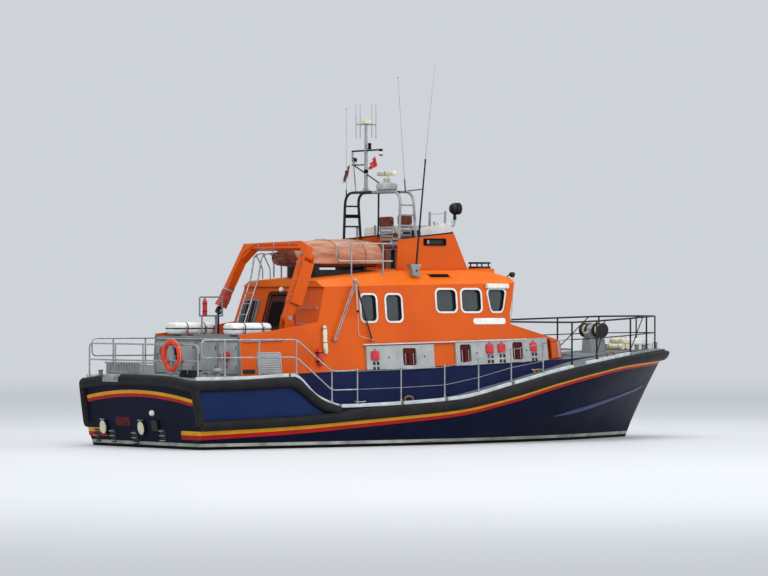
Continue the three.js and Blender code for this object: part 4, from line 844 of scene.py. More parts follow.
def make_radar():
    x, y, foot = RADAR["x"], RADAR["y"], RADAR["foot"]
    shape = Shape()
    levels = ((0, 0.2, 0.17), (0.04, 0.235, 0.205), (0.15, 0.238, 0.205), (0.19, 0.22, 0.19),
              (0.215, 0.13, 0.12), (0.24, 0.075, 0.07), (RADAR["neck"], 0.07, 0.07))
    rings = []
    for up, a, b in levels:
        rings.append([(x + dx, y + dy, foot + up) for dx, dy in rounded(-a, a, -b, b, b * 0.45)])
    shape.loft(rings, 0)
    for k in range(-3, 4):
        shape.box((x + k * 0.055 - 0.008, y - 0.212, foot + 0.06),
                  (x + k * 0.055 + 0.008, y + 0.212, foot + 0.17), 0)
    shape.make("radar_housing", ["locker"], "radar_pedestal", slot="white_paint", smooth=40, bevel=0.004)
    bar = Shape()
    turn = Matrix.Translation((x, y, foot)) @ Matrix.Rotation(math.radians(RADAR["turned"]), 4, "Z")
    bar.turned(((0, 0.32), (0.075, 0.3205), (0.07, 0.38), (0.05, 0.395), (0, 0.395)), (x, y, foot), mark=0)
    outline = rounded(-0.06, 0.06, 0.39, 0.51, 0.035)
    half, middle = RADAR["half"], RADAR["bar"]
    ends = ((-half, 0.7), (-half + 0.03, 0.95), (-half + 0.08, 1), (half - 0.08, 1), (half - 0.03, 0.95),
            (half, 0.7))
    bar.loft([[turn @ Vector((a * grow, b, middle + (up - middle) * grow)) for a, up in outline]
              for b, grow in ends], 0)
    bar.loft([[turn @ Vector((a * 1.03, b, middle + (up - middle) * 1.04)) for a, up in outline]
              for b in (-0.035, 0.035)], 1)
    bar.make("radar_bar", ["cream", "grey"], "radar_scanner", body="radar_scanner", slot="white_paint",
             smooth=40)


make_radar()

# Searchlight on its post
LAMP = {"x": 0.8, "y": -0.9, "z": 6.08, "r": 0.15, "swivel": 5.89}


def make_searchlight():
    x, y, z = LAMP["x"], LAMP["y"], LAMP["z"]
    post = Shape().box((0.474, y - 0.06, 5.4304), (0.545, y + 0.06, 5.454), 0)
    post.tube([(0.51, y, 5.44), (0.51, y, 5.56), (x, y, 5.64), (x, y, LAMP["swivel"])], 0.026, 0, fillet=0.1)
    post.tube([(0.51, y, 5.45), (0.74, y + 0.02, 5.74), (x, y, 5.8)], 0.014, 0, fillet=0.1)
    post.disc(0.045, 0, 0.1, (x, y, LAMP["swivel"] - 0.1), mark=1)
    post.make("searchlight_stand", ["alloy", "black"], "searchlight_post", slot="stainless", smooth=50)
    head = Shape().disc(0.042, 0.001, 0.03, (x, y, LAMP["swivel"]), mark=0)
    head.tube([(x, y - 0.172, z), (x, y - 0.16, z - 0.12), (x, y, z - 0.165), (x, y + 0.16, z - 0.12),
               (x, y + 0.172, z)], 0.012, 0, fillet=0.06)
    for side in (-1, 1):
        head.disc(0.03, 0, 0.03, (x, y + side * 0.16 - 0.015, z), (0, 1, 0), 0)
    drum = ((0, -0.13), (0.07, -0.128), (0.12, -0.1), (0.143, -0.04), (0.147, 0.09), (0.158, 0.095),
            (0.158, 0.13), (0.135, 0.13), (0.13, 0.118))
    head.turned(drum, (x, y, z), (1, 0, 0), 0, 28)
    head.turned(((0, 0.119), (0.132, 0.119), (0.08, 0.136), (0, 0.142)), (x, y, z), (1, 0, 0), 1, 28)
    for k in range(5):
        ring = ((0.1, 0), (0.152, 0), (0.152, 0.006), (0.1, 0.006))
        head.turned(ring, (x - 0.03 + k * 0.02, y, z), (1, 0, 0), 0, 28)
    head.make("searchlight_head", ["black", "lens"], "searchlight", body="searchlight", slot="black_paint",
              smooth=40)


make_searchlight()

# Tender under its laced cover
TENDER = ((-4.25, 0.15, 4.64, 4.83), (-4.05, 0.38, 4.59, 4.98), (-3.6, 0.62, 4.56, 5.15),
          (-2.9, 0.76, 4.54, 5.24), (-2.1, 0.79, 4.54, 5.26), (-1.45, 0.76, 4.55, 5.22))
TENDER_CURVES = [smooth_through([row[0] for row in TENDER], [row[i] for row in TENDER]) for i in (1, 2, 3)]
TENDER_SECTION = ((1, 0.25), (1, 0.5), (0.72, 0.8), (0.25, 0.93), (-0.25, 0.93), (-0.72, 0.8), (-1, 0.5),
                  (-1, 0.25), (-0.62, 0), (0.62, 0))
TENDER_TUBE = 0.155
WINE_AFT = (-3.95, -3.2)  # the cover's dark end reaches further forward on its port edge


def tender_at(x):
    """Half-breadth, foot and top of the tender."""
    return [curve(x) for curve in TENDER_CURVES]


def cover_row(x, around):
    """The cover across the tender, with its long folds, small creases and the hollows between the hoops."""
    half, low, high = tender_at(x)
    row = []
    for j, (a, b, _) in enumerate(around):
        edge = abs(j / (len(around) - 1) - 0.5) * 2
        fold = math.sin(9 * x + 5.5 * edge + 1.5 * math.sin(2.3 * x)) * 0.014 * edge ** 1.5
        crease = math.sin(31 * x - 9 * edge * math.copysign(1, a) + 2 * math.sin(5 * x)) * 0.007 * edge
        hollow = 0.028 * math.sin(math.pi * min(edge * 1.6, 1)) * math.sin(4.2 * x + 1)
        out = fold + crease - max(hollow, 0) * (1 - edge)
        row.append((x, a * half + math.copysign(out, a), mix(low, high, b) + (out if edge < 0.5 else 0)))
    return row


def make_tender():
    start, end = TENDER[0][0], TENDER[-1][0]
    places = [mix(start, end, (i / 28) ** 1.25) for i in range(29)]
    body = Shape()
    rings = []
    for x in places:
        half, low, high = tender_at(x)
        rings.append([(x, a * half * 0.965, mix(low, high, b)) for a, b in TENDER_SECTION])
    body.loft(rings, 0)
    for side in (-1, 1):
        path = [(x, side * (tender_at(x)[0] - 0.16), tender_at(x)[1] + 0.19) for x in places[3:-1]]
        body.tube(path, TENDER_TUBE, 0, sides=14)
    body.make("tender_tubes", ["wine"], "tender", slot="tender_cover", smooth=50)
    over = ((1.0, 0.14), (1.015, 0.32), (1.0, 0.55), (0.74, 0.86), (0.27, 1))
    around = flowing([*[(a, b, 0) for a, b in over], *[(-a, b, 0) for a, b in reversed(over)]], 8)
    rows = [cover_row(x, around) for x in spread(start, end, 110)]
    last = rows[-1]
    _, low, high = tender_at(end)
    for k in (0.82, 0.5, 0.15):
        rows.append([(end + 0.012 * math.sin(7 * k), y * k, mix(mix(low, high, 0.5), z, k))
                     for _, y, z in last])
    cover = Shape().grid(rows, lambda i, j: 1 if rows[i][j][0] < WINE_AFT[j < 4] else 0)
    cover = cover.make("tender_cover_cloth", ["cover", "wine"], slot="tender_cover", smooth=80)
    lacing = Shape()
    for x in (-3.75, -2.85, -2.0):
        half, low, high = tender_at(x)
        lacing.tube([(x, a * (half + 0.02), mix(low, high + 0.016, b)) for a, b, _ in around], 0.006, 0,
                    sides=6)
    lacing.make("tender_lashings", ["wine"], smooth=60)


make_tender()

# Liferaft canisters
RAFT = {"x": (-6.64, -5.43), "y": 1.295, "feet": (-6.35, -5.72), "half": 0.27, "z": (2.825, 3.13),
        "deck": 2.7804}


def make_liferaft(name, side):
    (low, high), (start, end), half, y = RAFT["z"], RAFT["x"], RAFT["half"], side * RAFT["y"]
    middle, tall = (low + high) / 2, (high - low) / 2
    outline = rounded(-half, half, -tall, tall, 0.125, 6)

    def around(*rings):
        return [[(x, y + a * grow, middle + b * grow) for a, b in outline] for x, grow in rings]

    ends = ((0, 0.62), (0.02, 0.83), (0.06, 0.95), (0.12, 1))
    shape = Shape().loft(around(*[(start + d, g) for d, g in ends],
                                *[(end - d, g) for d, g in reversed(ends)]), 0)
    for x in spread(start, end, 6)[1:-1]:
        shape.loft(around((x - 0.016, 1), (x - 0.012, 1.02), (x + 0.012, 1.02), (x + 0.016, 1)), 0)
    seam = rounded(start - 0.004, end + 0.004, -half - 0.012, half + 0.012, 0.07)
    shape.loft([[(x, y + out, middle + up) for x, out in seam] for up in (-0.015, 0.015)], 1)
    for t in (0.3, 0.74):
        x = mix(start, end, t)
        shape.loft(around((x - 0.014, 1.035), (x + 0.014, 1.035)), 2)
    for x in RAFT["feet"]:
        shape.box((x - 0.06, y - 0.2, RAFT["deck"]), (x + 0.06, y + 0.2, 2.87), 3)
        for edge in (-half - 0.03, half + 0.03):
            shape.tube([(x, y + edge, RAFT["deck"]), (x, y + edge, middle + 0.06)], 0.014, 3)
    shape.make(f"liferaft_canister_{name}", ["canister", "black", "maroon", "grey"], f"liferaft_{name}",
               slot="white_plastic", smooth=40, bevel=0.003)


both_sides(make_liferaft)

# Life ring on the stern rail
RING = {"at": (-8.407, -1.43, 2.33), "r": 0.346, "tube": 0.06}


def make_ring():
    x, y, z = RING["at"]
    shape = Shape()

    def around(turns, r=RING["r"], aft=0.0):
        return [Vector((x - aft, y + r * math.cos(a), z + r * math.sin(a))) for a in turns]

    shape.tube(around(circle(64)), RING["tube"], 0, sides=20, looped=True)
    for quarter in range(4):
        middle = math.radians(45 + 90 * quarter)
        band = [middle + math.radians(d) for d in (-7, -3.5, 0, 3.5, 7)]
        shape.tube(around(band), RING["tube"] + 0.003, 1, sides=20)
        hang = [math.radians(d) for d in range(0, 91, 10)]
        rope = [around([middle + a], RING["r"] + 0.068 + 0.012 * math.sin(2 * a), 0.02)[0] for a in hang]
        shape.tube(rope, 0.006, 2, sides=6)
    shape.make("life_ring_buoy", ["ring", "boot", "rope"], "life_ring", slot="life_ring_orange", smooth=60)
    at = Vector((x + 0.1, y - 0.02, z))
    light = Shape()
    for low, high, r, mark in ((0.02, 0.2, 0.045, 0), (0.2, 0.27, 0.03, 1)):
        light.tube([at + Vector((0, 0, low)), at + Vector((0, 0, high))], r, mark, sides=14)
    light.tube([(at.x, at.y, z + 0.05), (at.x + 0.02, at.y, STERN_RAIL["mid"])], 0.012, 0)
    light.make("life_ring_light", ["black", "plastic"], slot="black_paint", smooth=50)


make_ring()


# House sides: where their surface lies
WALL_LEAN = 0.105
WALL_FOOT = 2.0
TRUNK = ((1.8804, 2.0, 1.888, 3.07), (3.09, 1.84, 1.7, 2.79), (3.85, 1.5, 1.35, 2.65),
         (4.08, 1.29, 1.18, 2.59))
TRUNK_FOOT = 1.9


def side_y(x, z):
    """Half-breadth of the house at a length and a height."""
    if x <= TRUNK[0][0]:
        return WALL_FOOT - WALL_LEAN * (z - WALL_FOOT)
    for start, end in zip(TRUNK, TRUNK[1:]):
        if x <= end[0]:
            break
    t = (x - start[0]) / (end[0] - start[0])
    foot, top, top_z = (mix(a, b, t) for a, b in zip(start[1:], end[1:]))
    return mix(foot, top, (z - TRUNK_FOOT) / (top_z - TRUNK_FOOT))


def wall(side):
    """Lays a length, a height and a depth out from the house side."""
    return lambda x, z, out: Vector((x, side * (side_y(x, z) + out), z))


def board(shape, place, span, low, high, depths, mark=0, steps=4):
    """A board along a wall; low and high give its edge at each end of the span."""
    rings = []
    for i in range(steps + 1):
        t = i / steps
        a, b0, b1 = mix(*span, t), mix(*low, t), mix(*high, t)
        rings.append([place(a, b0, depths[0]), place(a, b0, depths[1]), place(a, b1, depths[1]),
                      place(a, b1, depths[0])])
    shape.loft(rings, mark)


# Window frames, tapered in the foremost side window
SIDE_WINDOWS = ((-2.9, -2.42, 3.16, 3.84), (-2.11, -1.62, 3.16, 3.84), (-0.49, 0.14, 3.4, 3.97),
                (0.32, 0.95, 3.4, 3.97), (1.17, 1.77, 3.4, 3.97))
WINDOW_R = 0.11
FRAME = 0.042
LIP = 0.008
TAPER = (0.09, -0.14)
FRONT_WINDOWS = (-1.05, 0, 1.05)
FRONT_WINDOW = (0.42, 3.43, 3.96)
FRONT_FOOT = (1.88, 3.35)
FRONT_SLOPE = (2.09 - 1.88) / (4.16 - 3.35)


def front(y, z, out):
    """Lays a breadth, a height and a depth out from the raked front wall."""
    return Vector((FRONT_FOOT[0] + FRONT_SLOPE * (z - FRONT_FOOT[1]) + out, y, z - out * FRONT_SLOPE))


def window_frame(shape, place, a0, a1, b0, b1, shift=None):
    """A white frame and a black gasket round an opening."""
    shift = shift or (lambda ring: ring)
    outer = shift(rounded(a0 - FRAME, a1 + FRAME, b0 - FRAME, b1 + FRAME, WINDOW_R + FRAME))
    edge = shift(rounded(a0 + LIP, a1 - LIP, b0 + LIP, b1 - LIP, WINDOW_R))
    inner = shift(rounded(a0 + 3 * LIP, a1 - 3 * LIP, b0 + 3 * LIP, b1 - 3 * LIP, WINDOW_R - LIP))
    shape.plate(outer, place, (-0.03, 0.016), 0, edge)
    shape.plate(edge, place, (-0.045, 0.007), 1, inner)


def make_side_windows(name, side):
    shape = Shape()
    place = wall(side)
    for x0, x1, z0, z1 in SIDE_WINDOWS[:-1]:
        window_frame(shape, place, x0, x1, z0, z1)
    x0, x1, z0, z1 = SIDE_WINDOWS[-1]

    def taper(ring):
        return [(x + mix(*TAPER, (x - x0) / (x1 - x0)) * (z1 - z) / (z1 - z0), z) for x, z in ring]

    window_frame(shape, place, x0, x1, z0, z1, taper)
    edge = rounded(x0 - 0.02, x1 + 0.02, z0 - 0.02, z1 + 0.02, WINDOW_R)
    shape.plate(edge, place, (-0.04, 0.003), 2, taper(rounded(x0, x1, z0, z1, WINDOW_R)))
    visor = rounded(0, 0.13, 3.995, 4.125, 0.035)
    ends = ((1.13, 0.8), (1.15, 0.96), (1.17, 1), (1.79, 1), (1.81, 0.96), (1.83, 0.8))
    shape.loft([[place(x, 4.06 + (z - 4.06) * grow, out * grow) for out, z in visor] for x, grow in ends], 0)
    shape.plate(rounded(0.66, 1.71, 3.07, 3.23, 0.07), place, (0, 0.012), 3)
    shape.make(f"side_window_frames_{name}", ["white", "black", "orange", "plastic"], slot="white_paint",
               smooth=45, bevel=0.003)


def make_front_windows():
    shape = Shape()
    half, z0, z1 = FRONT_WINDOW
    for y in FRONT_WINDOWS:
        window_frame(shape, front, y - half, y + half, z0, z1)
        shape.tube([front(y + 0.1, 4.06, 0.03), front(y - 0.08, 3.56, 0.035)], 0.009, 1, sides=6)
        shape.tube([front(y - 0.2, 3.78, 0.022), front(y + 0.04, 3.5, 0.022)], 0.008, 1, sides=6)
        shape.turned(((0, -0.02), (0.032, -0.02), (0.032, 0.04), (0, 0.05)), front(y + 0.1, 4.06, 0),
                     (1, 0, 0), 1, 14)
    shape.make("front_window_frames", ["white", "black"], slot="white_paint", smooth=45, bevel=0.003)


make_front_windows()
both_sides(make_side_windows)

# Lockers along the foot of the house, with recesses, and red pads over their vents
LOCKER = 0.05
LOCKER_COLUMNS = ("span", "low", "high", "recesses", "pads", "latches")
LOCKERS = [dict(zip(LOCKER_COLUMNS, row)) for row in (
    ((-2.85, -0.7), (1.93, 1.95), (2.53, 2.565), ((-1.7, -1.27, 2.03, 2.47),), ((-2.72, 2.16),),
     (-2.15, -1.02)),
    ((0.0, 3.2), (2.0, 2.12), (2.61, 2.71), ((0.14, 0.5, 2.09, 2.55), (1.85, 2.24, 2.15, 2.6)),
     ((0.96, 2.31), (1.35, 2.32), (2.5, 2.35)), (0.68, 2.36)))]
LEDGE = ((-2.94, 2.36), (2.55, 2.66))
PAD = (0.255, 0.25)
COLUMN = 0.05  # of a recess's frame, on each side of it


def make_lockers(name, side):
    shape = Shape()
    place = wall(side)
    pads = Shape()
    for row in LOCKERS:
        (x0, x1), low, high = row["span"], row["low"], row["high"]

        def edge(pair, x):
            return mix(*pair, (x - x0) / (x1 - x0))

        cuts = [x0, *[c for r in row["recesses"] for c in (r[0] - COLUMN, r[1] + COLUMN)], x1]
        for a, b in zip(cuts[::2], cuts[1::2]):
            board(shape, place, (a, b), (edge(low, a), edge(low, b)), (edge(high, a), edge(high, b)),
                  (-0.01, LOCKER))
        for r0, r1, z0, z1 in row["recesses"]:
            a, b = r0 - COLUMN, r1 + COLUMN
            middle = (r0 + r1) / 2
            outline = rounded(a, b, edge(low, middle), edge(high, middle), 0.002)
            shape.plate(outline, place, (-0.01, LOCKER), 0, rounded(r0, r1, z0, z1, 0.06))
            # The back of each recess is dark red, painted darker as the shade inside the recess.
            shape.plate(rounded(r0 - 0.02, r1 + 0.02, z0 - 0.02, z1 + 0.02, 0.06), place, (-0.01, 0.004), 1)
            for t, r, mark in ((0.22, 0.013, 3), (0.5, 0.036, 1), (0.8, 0.013, 3)):
                x = mix(r0, r1, t)
                shape.tube([place(x, z0 + 0.02, 0.02), place(x, mix(z0, z1, 0.7), 0.02)], r, mark, sides=10)
        for x, z in row["pads"]:
            wide, tall = PAD
            for column in (0.055, 0.175):
                for up in (-0.115, -0.25):
                    shape.plate(rounded(x + column, x + column + 0.08, z + up, z + up + 0.09, 0.012), place,
                                (0, LOCKER + 0.005), 2)
            outline = rounded(x, x + wide, z, z + tall, 0.055)
            centre = (x + wide / 2, z + tall / 2)
            dome = ((0.98, 0.0), (1.0, 0.015), (0.97, 0.032), (0.86, 0.044), (0.6, 0.051), (0.25, 0.053))
            pads.loft([[place(centre[0] + (a - centre[0]) * grow, centre[1] + (b - centre[1]) * grow,
                              LOCKER + up) for a, b in outline] for grow, up in dome], 0)
            pads.tube([place(centre[0], z + tall - 0.02, LOCKER + 0.03),
                       place(centre[0], z + tall + 0.05, LOCKER + 0.012)], 0.012, 1, sides=8, flat=0.5)
        for x in row["latches"]:
            z = mix(edge(low, x), edge(high, x), 0.5)
            shape.turned(((0, 0), (0.022, 0), (0.02, 0.012), (0, 0.014)), place(x, z, LOCKER), (0, side, 0),
                         2, 14)
    board(shape, place, LEDGE[0], LEDGE[1], [z + 0.032 for z in LEDGE[1]], (-0.01, 0.085), 4, 8)
    # A dark red strip on the trunk side just aft of the corner box: painted shade of the box's aft face.
    board(shape, place, (3.3, 3.4), (2.15, 2.16), (2.67, 2.66), (-0.01, 0.012), 1)
    board(shape, place, (3.38, 3.73), (2.17, 2.19), (2.665, 2.64), (-0.01, 0.075), 5)
    board(shape, place, (3.73, 3.84), (2.19, 2.2), (2.64, 2.62), (-0.01, 0.07), 0)
    shape.make(f"side_lockers_{name}", ["locker", "maroon", "black", "alloy", "toe", "orange"],
               slot="grey_paint", smooth=35, bevel=0.004)
    padded = pads.make(f"locker_pads_{name}", ["pad", "black"], slot="canvas_boot", smooth=70)


both_sides(make_lockers)

# What else hangs on the sides: louvred panel, vent, rubbing ledge, red bottle and line bag
LOUVRE = (-6.22, -5.49, 1.86, 2.4)
BOTTLE = {"x": -4.335, "out": 0.075, "clips": (2.14, 2.36),
          "profile": ((2.03, 0.04), (2.1, 0.062), (2.4, 0.062), (2.46, 0.045), (2.5, 0.02))}
BAG = {"x": -4.115, "out": 0.05, "straps": (2.62, 2.98),
       "profile": ((2.34, 0.45), (2.37, 0.85), (2.5, 1.05), (2.7, 0.92), (2.88, 1.0), (3.0, 0.9),
                   (3.05, 0.6), (3.07, 0.25))}


def make_side_fittings(name, side):
    shape = Shape()
    place = wall(side)
    x0, x1, z0, z1 = LOUVRE
    shape.plate(rounded(x0, x1, z0, z1, 0.05), place, (-0.01, 0.012), 0)
    shape.plate(rounded(x0, x1, z0, z1, 0.05), place, (0.012, 0.03), 0,
                rounded(x0 + 0.035, x1 - 0.035, z0 + 0.035, z1 - 0.035, 0.035))
    for z in spread(z0 + 0.06, z1 - 0.09, 7):
        shape.loft([[place(x, z, 0.01), place(x, z - 0.012, 0.03), place(x, z + 0.03, 0.014)]
                    for x in (x0 + 0.05, x1 - 0.05)], 0)
    shape.plate(rounded(-6.66, -6.3, 1.86, 1.97, 0.02), place, (-0.01, 0.016), 1)
    board(shape, place, (-6.62, -5.4), (2.655, 2.69), (2.685, 2.72), (-0.01, 0.05), 2)
    x, (heights, radii) = BOTTLE["x"], zip(*BOTTLE["profile"])
    shape.tube([place(x, z, BOTTLE["out"]) for z in heights], radii, 3, sides=16)
    for z in BOTTLE["clips"]:
        shape.plate(rounded(x - 0.075, x + 0.075, z, z + 0.03, 0.01), place, (-0.01, 0.141), 1)
    x = BAG["x"]
    rings = []
    for z, grow in BAG["profile"]:
        rings.append([place(x + 0.066 * grow * math.cos(a) + 0.008 * math.sin(9 * z), z,
                            BAG["out"] + 0.048 * grow * math.sin(a)) for a in circle(16)])
    shape.loft(rings, 4)
    for z in BAG["straps"]:
        shape.plate(rounded(x - 0.075, x + 0.075, z, z + 0.022, 0.008), place, (-0.01, 0.104), 2)
    shape.make(f"side_fittings_{name}", ["locker", "black", "grey", "red", "cream"], slot="grey_paint",
               smooth=50, bevel=0.003)


both_sides(make_side_fittings)

# Roof: slots in its slope, sidelight recesses of the flying bridge, horn, corner lamps with their rails
CREASE = ((-4.06, 4.04), (2.13, 4.14))
ROOF_EDGE = (1.35, 4.472)
BRIDGE_SIDE = 1.26


def slope_of_roof(side):
    """Lays a length, a share of the way up the roof's slope, and a depth out from it."""
    def place(x, t, out):
        crease = mix(CREASE[0][1], CREASE[1][1], (x - CREASE[0][0]) / (CREASE[1][0] - CREASE[0][0]))
        low, high = (side_y(0, crease), crease), ROOF_EDGE
        along = Vector((0, high[0] - low[0], high[1] - low[1])).normalized()
        y, z = mix(low[0], high[0], t) + along.z * out, mix(low[1], high[1], t) - along.y * out
        return Vector((x, side * y, z))
    return place


def bridge_side(side):
    return lambda x, z, out: Vector((x, side * (BRIDGE_SIDE + out), z))


def make_roof_fittings():
    shape = Shape()
    for _, side in SIDES:
        place = slope_of_roof(side)
        slant = [(x + 0.16 * (1 - t), t) for x, t in rounded(-0.6, 0.1, 0.42, 0.76, 0.02)]
        inner = [(x + 0.16 * (1 - t), t) for x, t in rounded(-0.575, 0.075, 0.47, 0.71, 0.015)]
        shape.plate(slant, place, (-0.01, 0.014), 1, inner)
        # The inside of each slot is near-black, painted shade.
        shape.plate(inner, place, (-0.01, 0.004), 0)
        place = bridge_side(side)
        hood = rounded(-0.48, 0.22, 5.11, 5.29, 0.03)
        shape.plate(hood, place, (-0.01, 0.045), 0, rounded(-0.44, 0.18, 5.14, 5.26, 0.02))
        shape.plate(rounded(-0.45, 0.19, 5.13, 5.27, 0.02), place, (-0.01, 0.006), 2)
        shape.tube([place(-0.36, 5.15, 0.03), place(-0.36, 5.25, 0.03)], 0.028, 4 if side < 0 else 5,
                   sides=14)
        lamp = Vector((2.2, side * 1.52, 4.36))
        shape.tube([(2.06, side * 1.46, 4.28), (2.1, side * 1.5, 4.34), lamp], 0.016, 2, fillet=0.03)
        shape.turned(((0, -0.07), (0.05, -0.06), (0.07, -0.01), (0.074, 0.05), (0.06, 0.06), (0, 0.066)),
                     lamp, (1, 0, -0.15), 2, 20)
        rail = [front(side * 1.6, 4.1, 0.01), front(side * 1.62, 4.08, 0.09), front(side * 1.7, 3.75, 0.1),
                front(side * 1.78, 3.42, 0.1), (1.97, side * 1.8, 3.2), (1.885, side * 1.8, 3.17)]
        shape.tube(rail, 0.014, 6, fillet=0.06)
        shape.tube([lamp, (2.18, side * 1.6, 4.2), front(side * 1.64, 4.0, 0.05),
                    front(side * 1.72, 3.66, 0.03), front(side * 1.74, 3.4, 0.02)], 0.009, 6, sides=6,
                   fillet=0.1)
    plinth = [[(x + dx, y, z) for x, y in rounded(1.38, 2.02, -1.02, -0.58, 0.03, 2)]
              for dx, z in ((0, 4.3), (0, 4.5), (0.01, 4.52))]
    shape.loft(plinth, 1)
    for low, high in ((4.52, 4.575), (4.64, 4.69)):
        shape.slab((1.44, 1.93, -0.98, -0.62, 0.03, 3), (low, high), 2)
    for x, y in ((1.5, -0.94), (1.5, -0.66), (1.87, -0.94), (1.87, -0.66)):
        shape.tube([(x, y, 4.56), (x, y, 4.65)], 0.02, 2, sides=8)
    wedge = ((0.06, 0.05, 4.4), (0.17, 0.1, 4.58), (0.17, 0.1, 4.62))
    shape.loft([[(x, y, z) for x, y in rounded(-1.04 - a, -1.04 + a, -1.6 - b, -1.6 + b, 0.02, 2)]
                for a, b, z in wedge], 3)
    shape.make("roof_fittings", ["dark", "chamfer", "black", "alloy", "lens", "red", "toe"],
               slot="black_paint", smooth=45, bevel=0.003)


make_roof_fittings()

# Casing: grey skins on its aft face and its top, with doors
CASING = {"x": -6.7, "top": 2.78, "foot": 1.75, "fore": -4.36}
WELL = {"x": -5.75, "y": (-0.45, 0.64), "floor": 2.15}
SKIN = 0.004
CASING_DOORS = ((-1.82, -1.02), (-0.92, -0.1), (0.1, 0.92), (1.02, 1.82))


def on_casing(y, z, out):
    return Vector((CASING["x"] - out, y, z))


def make_casing_skins():
    x, top, foot, fore = (CASING[key] for key in ("x", "top", "foot", "fore"))
    shape = Shape()
    low, high = side_y(x, foot), side_y(x, top)
    shape.plate([(-low, foot), (low, foot), (high, top), (-high, top)], on_casing, (-SKIN, SKIN), 0)
    for side in (-1, 1):
        inner = WELL["y"][0] if side < 0 else WELL["y"][1]
        ends = sorted((side * (high - 0.065), inner))
        shape.box((WELL["x"], ends[0], top - SKIN), (fore, ends[1], top + SKIN / 2), 0)
        shape.plate([(side * (high - 0.062), 2.7), (side * (high + 0.006), 2.7),
                     (side * (high - 0.008), 2.845), (side * (high - 0.07), 2.845)], on_casing,
                    (-SKIN, SKIN), 0)
    shape.box((x, 0.065 - high, top - SKIN), (WELL["x"], high - 0.065, top + SKIN / 2), 0)
    for y0, y1 in CASING_DOORS:
        shape.plate(rounded(y0, y1, 1.86, 2.64, 0.05), on_casing, (0, 0.022), 1)
        shape.plate(rounded(y0 + 0.07, y1 - 0.07, 1.93, 2.57, 0.03), on_casing, (0, 0.03), 1)
        for z in (2.0, 2.5):
            shape.tube([on_casing(y0 + 0.02, z + up, 0.028) for up in (-0.05, 0.05)], 0.012, 2, sides=8)
        feet = [on_casing(y1 - 0.1, z, 0.03) for z in (2.2, 2.34)]
        shape.staple(*feet, (-0.03, 0, 0), 0.009, 2, sides=8, fillet=0.02)
    shape.tube([on_casing(-1.86, 2.72, 0.035), on_casing(1.86, 2.72, 0.035)], 0.018, 1)
    for y in (-1.6, -0.5, 0.5, 1.6):
        shape.tube([on_casing(y, 2.72, 0), on_casing(y, 2.72, 0.035)], 0.012, 1, sides=8)
    for y, z in ((-1.42, 2.3), (1.47, 2.4)):
        shape.turned(((0, 0), (0.1, 0), (0.12, 0.02), (0.12, 0.07), (0.06, 0.09), (0, 0.09)),
                     on_casing(y, z, 0.025), (-1, 0, 0), 3, 20)
        shape.tube([on_casing(y, z, 0.1), on_casing(y, z - 0.2, 0.1), on_casing(y, z - 0.3, 0.03)], 0.016,
                   3, fillet=0.03)
    for z in (2.35, 2.55):
        shape.box((WELL["x"] + 0.1, WELL["y"][0] + 0.002, z),
                  (WELL["x"] + 0.5, WELL["y"][0] + 0.05, z + 0.02), 1)
    shape.make("casing_skins", ["grey", "locker", "black", "red"], slot="grey_paint", bevel=0.003)


make_casing_skins()

# Transom: two bands in an arc, the side bands turned round its corners, exhausts, steps, plate and lamp
ARC = {"middle": 1.45, "drop": 0.033, "half": 2.42, "wide": 0.085}
EXHAUSTS = ((1.77, 0.48), (0.02, 0.49))
STEPS = ((2.17, 0.14), (1.42, 0.15), (0.4, 0.12), (-0.87, 0.2))


def on_transom(y, z, out):
    s = SECTIONS[0]
    return Vector((mix(s[0], s[1], (z * 1000 - s[2]) / (s[11] - s[2])) * MM - out, y, z))


def arc_height(y):
    return ARC["middle"] - ARC["drop"] * y * y + 0.008 * y


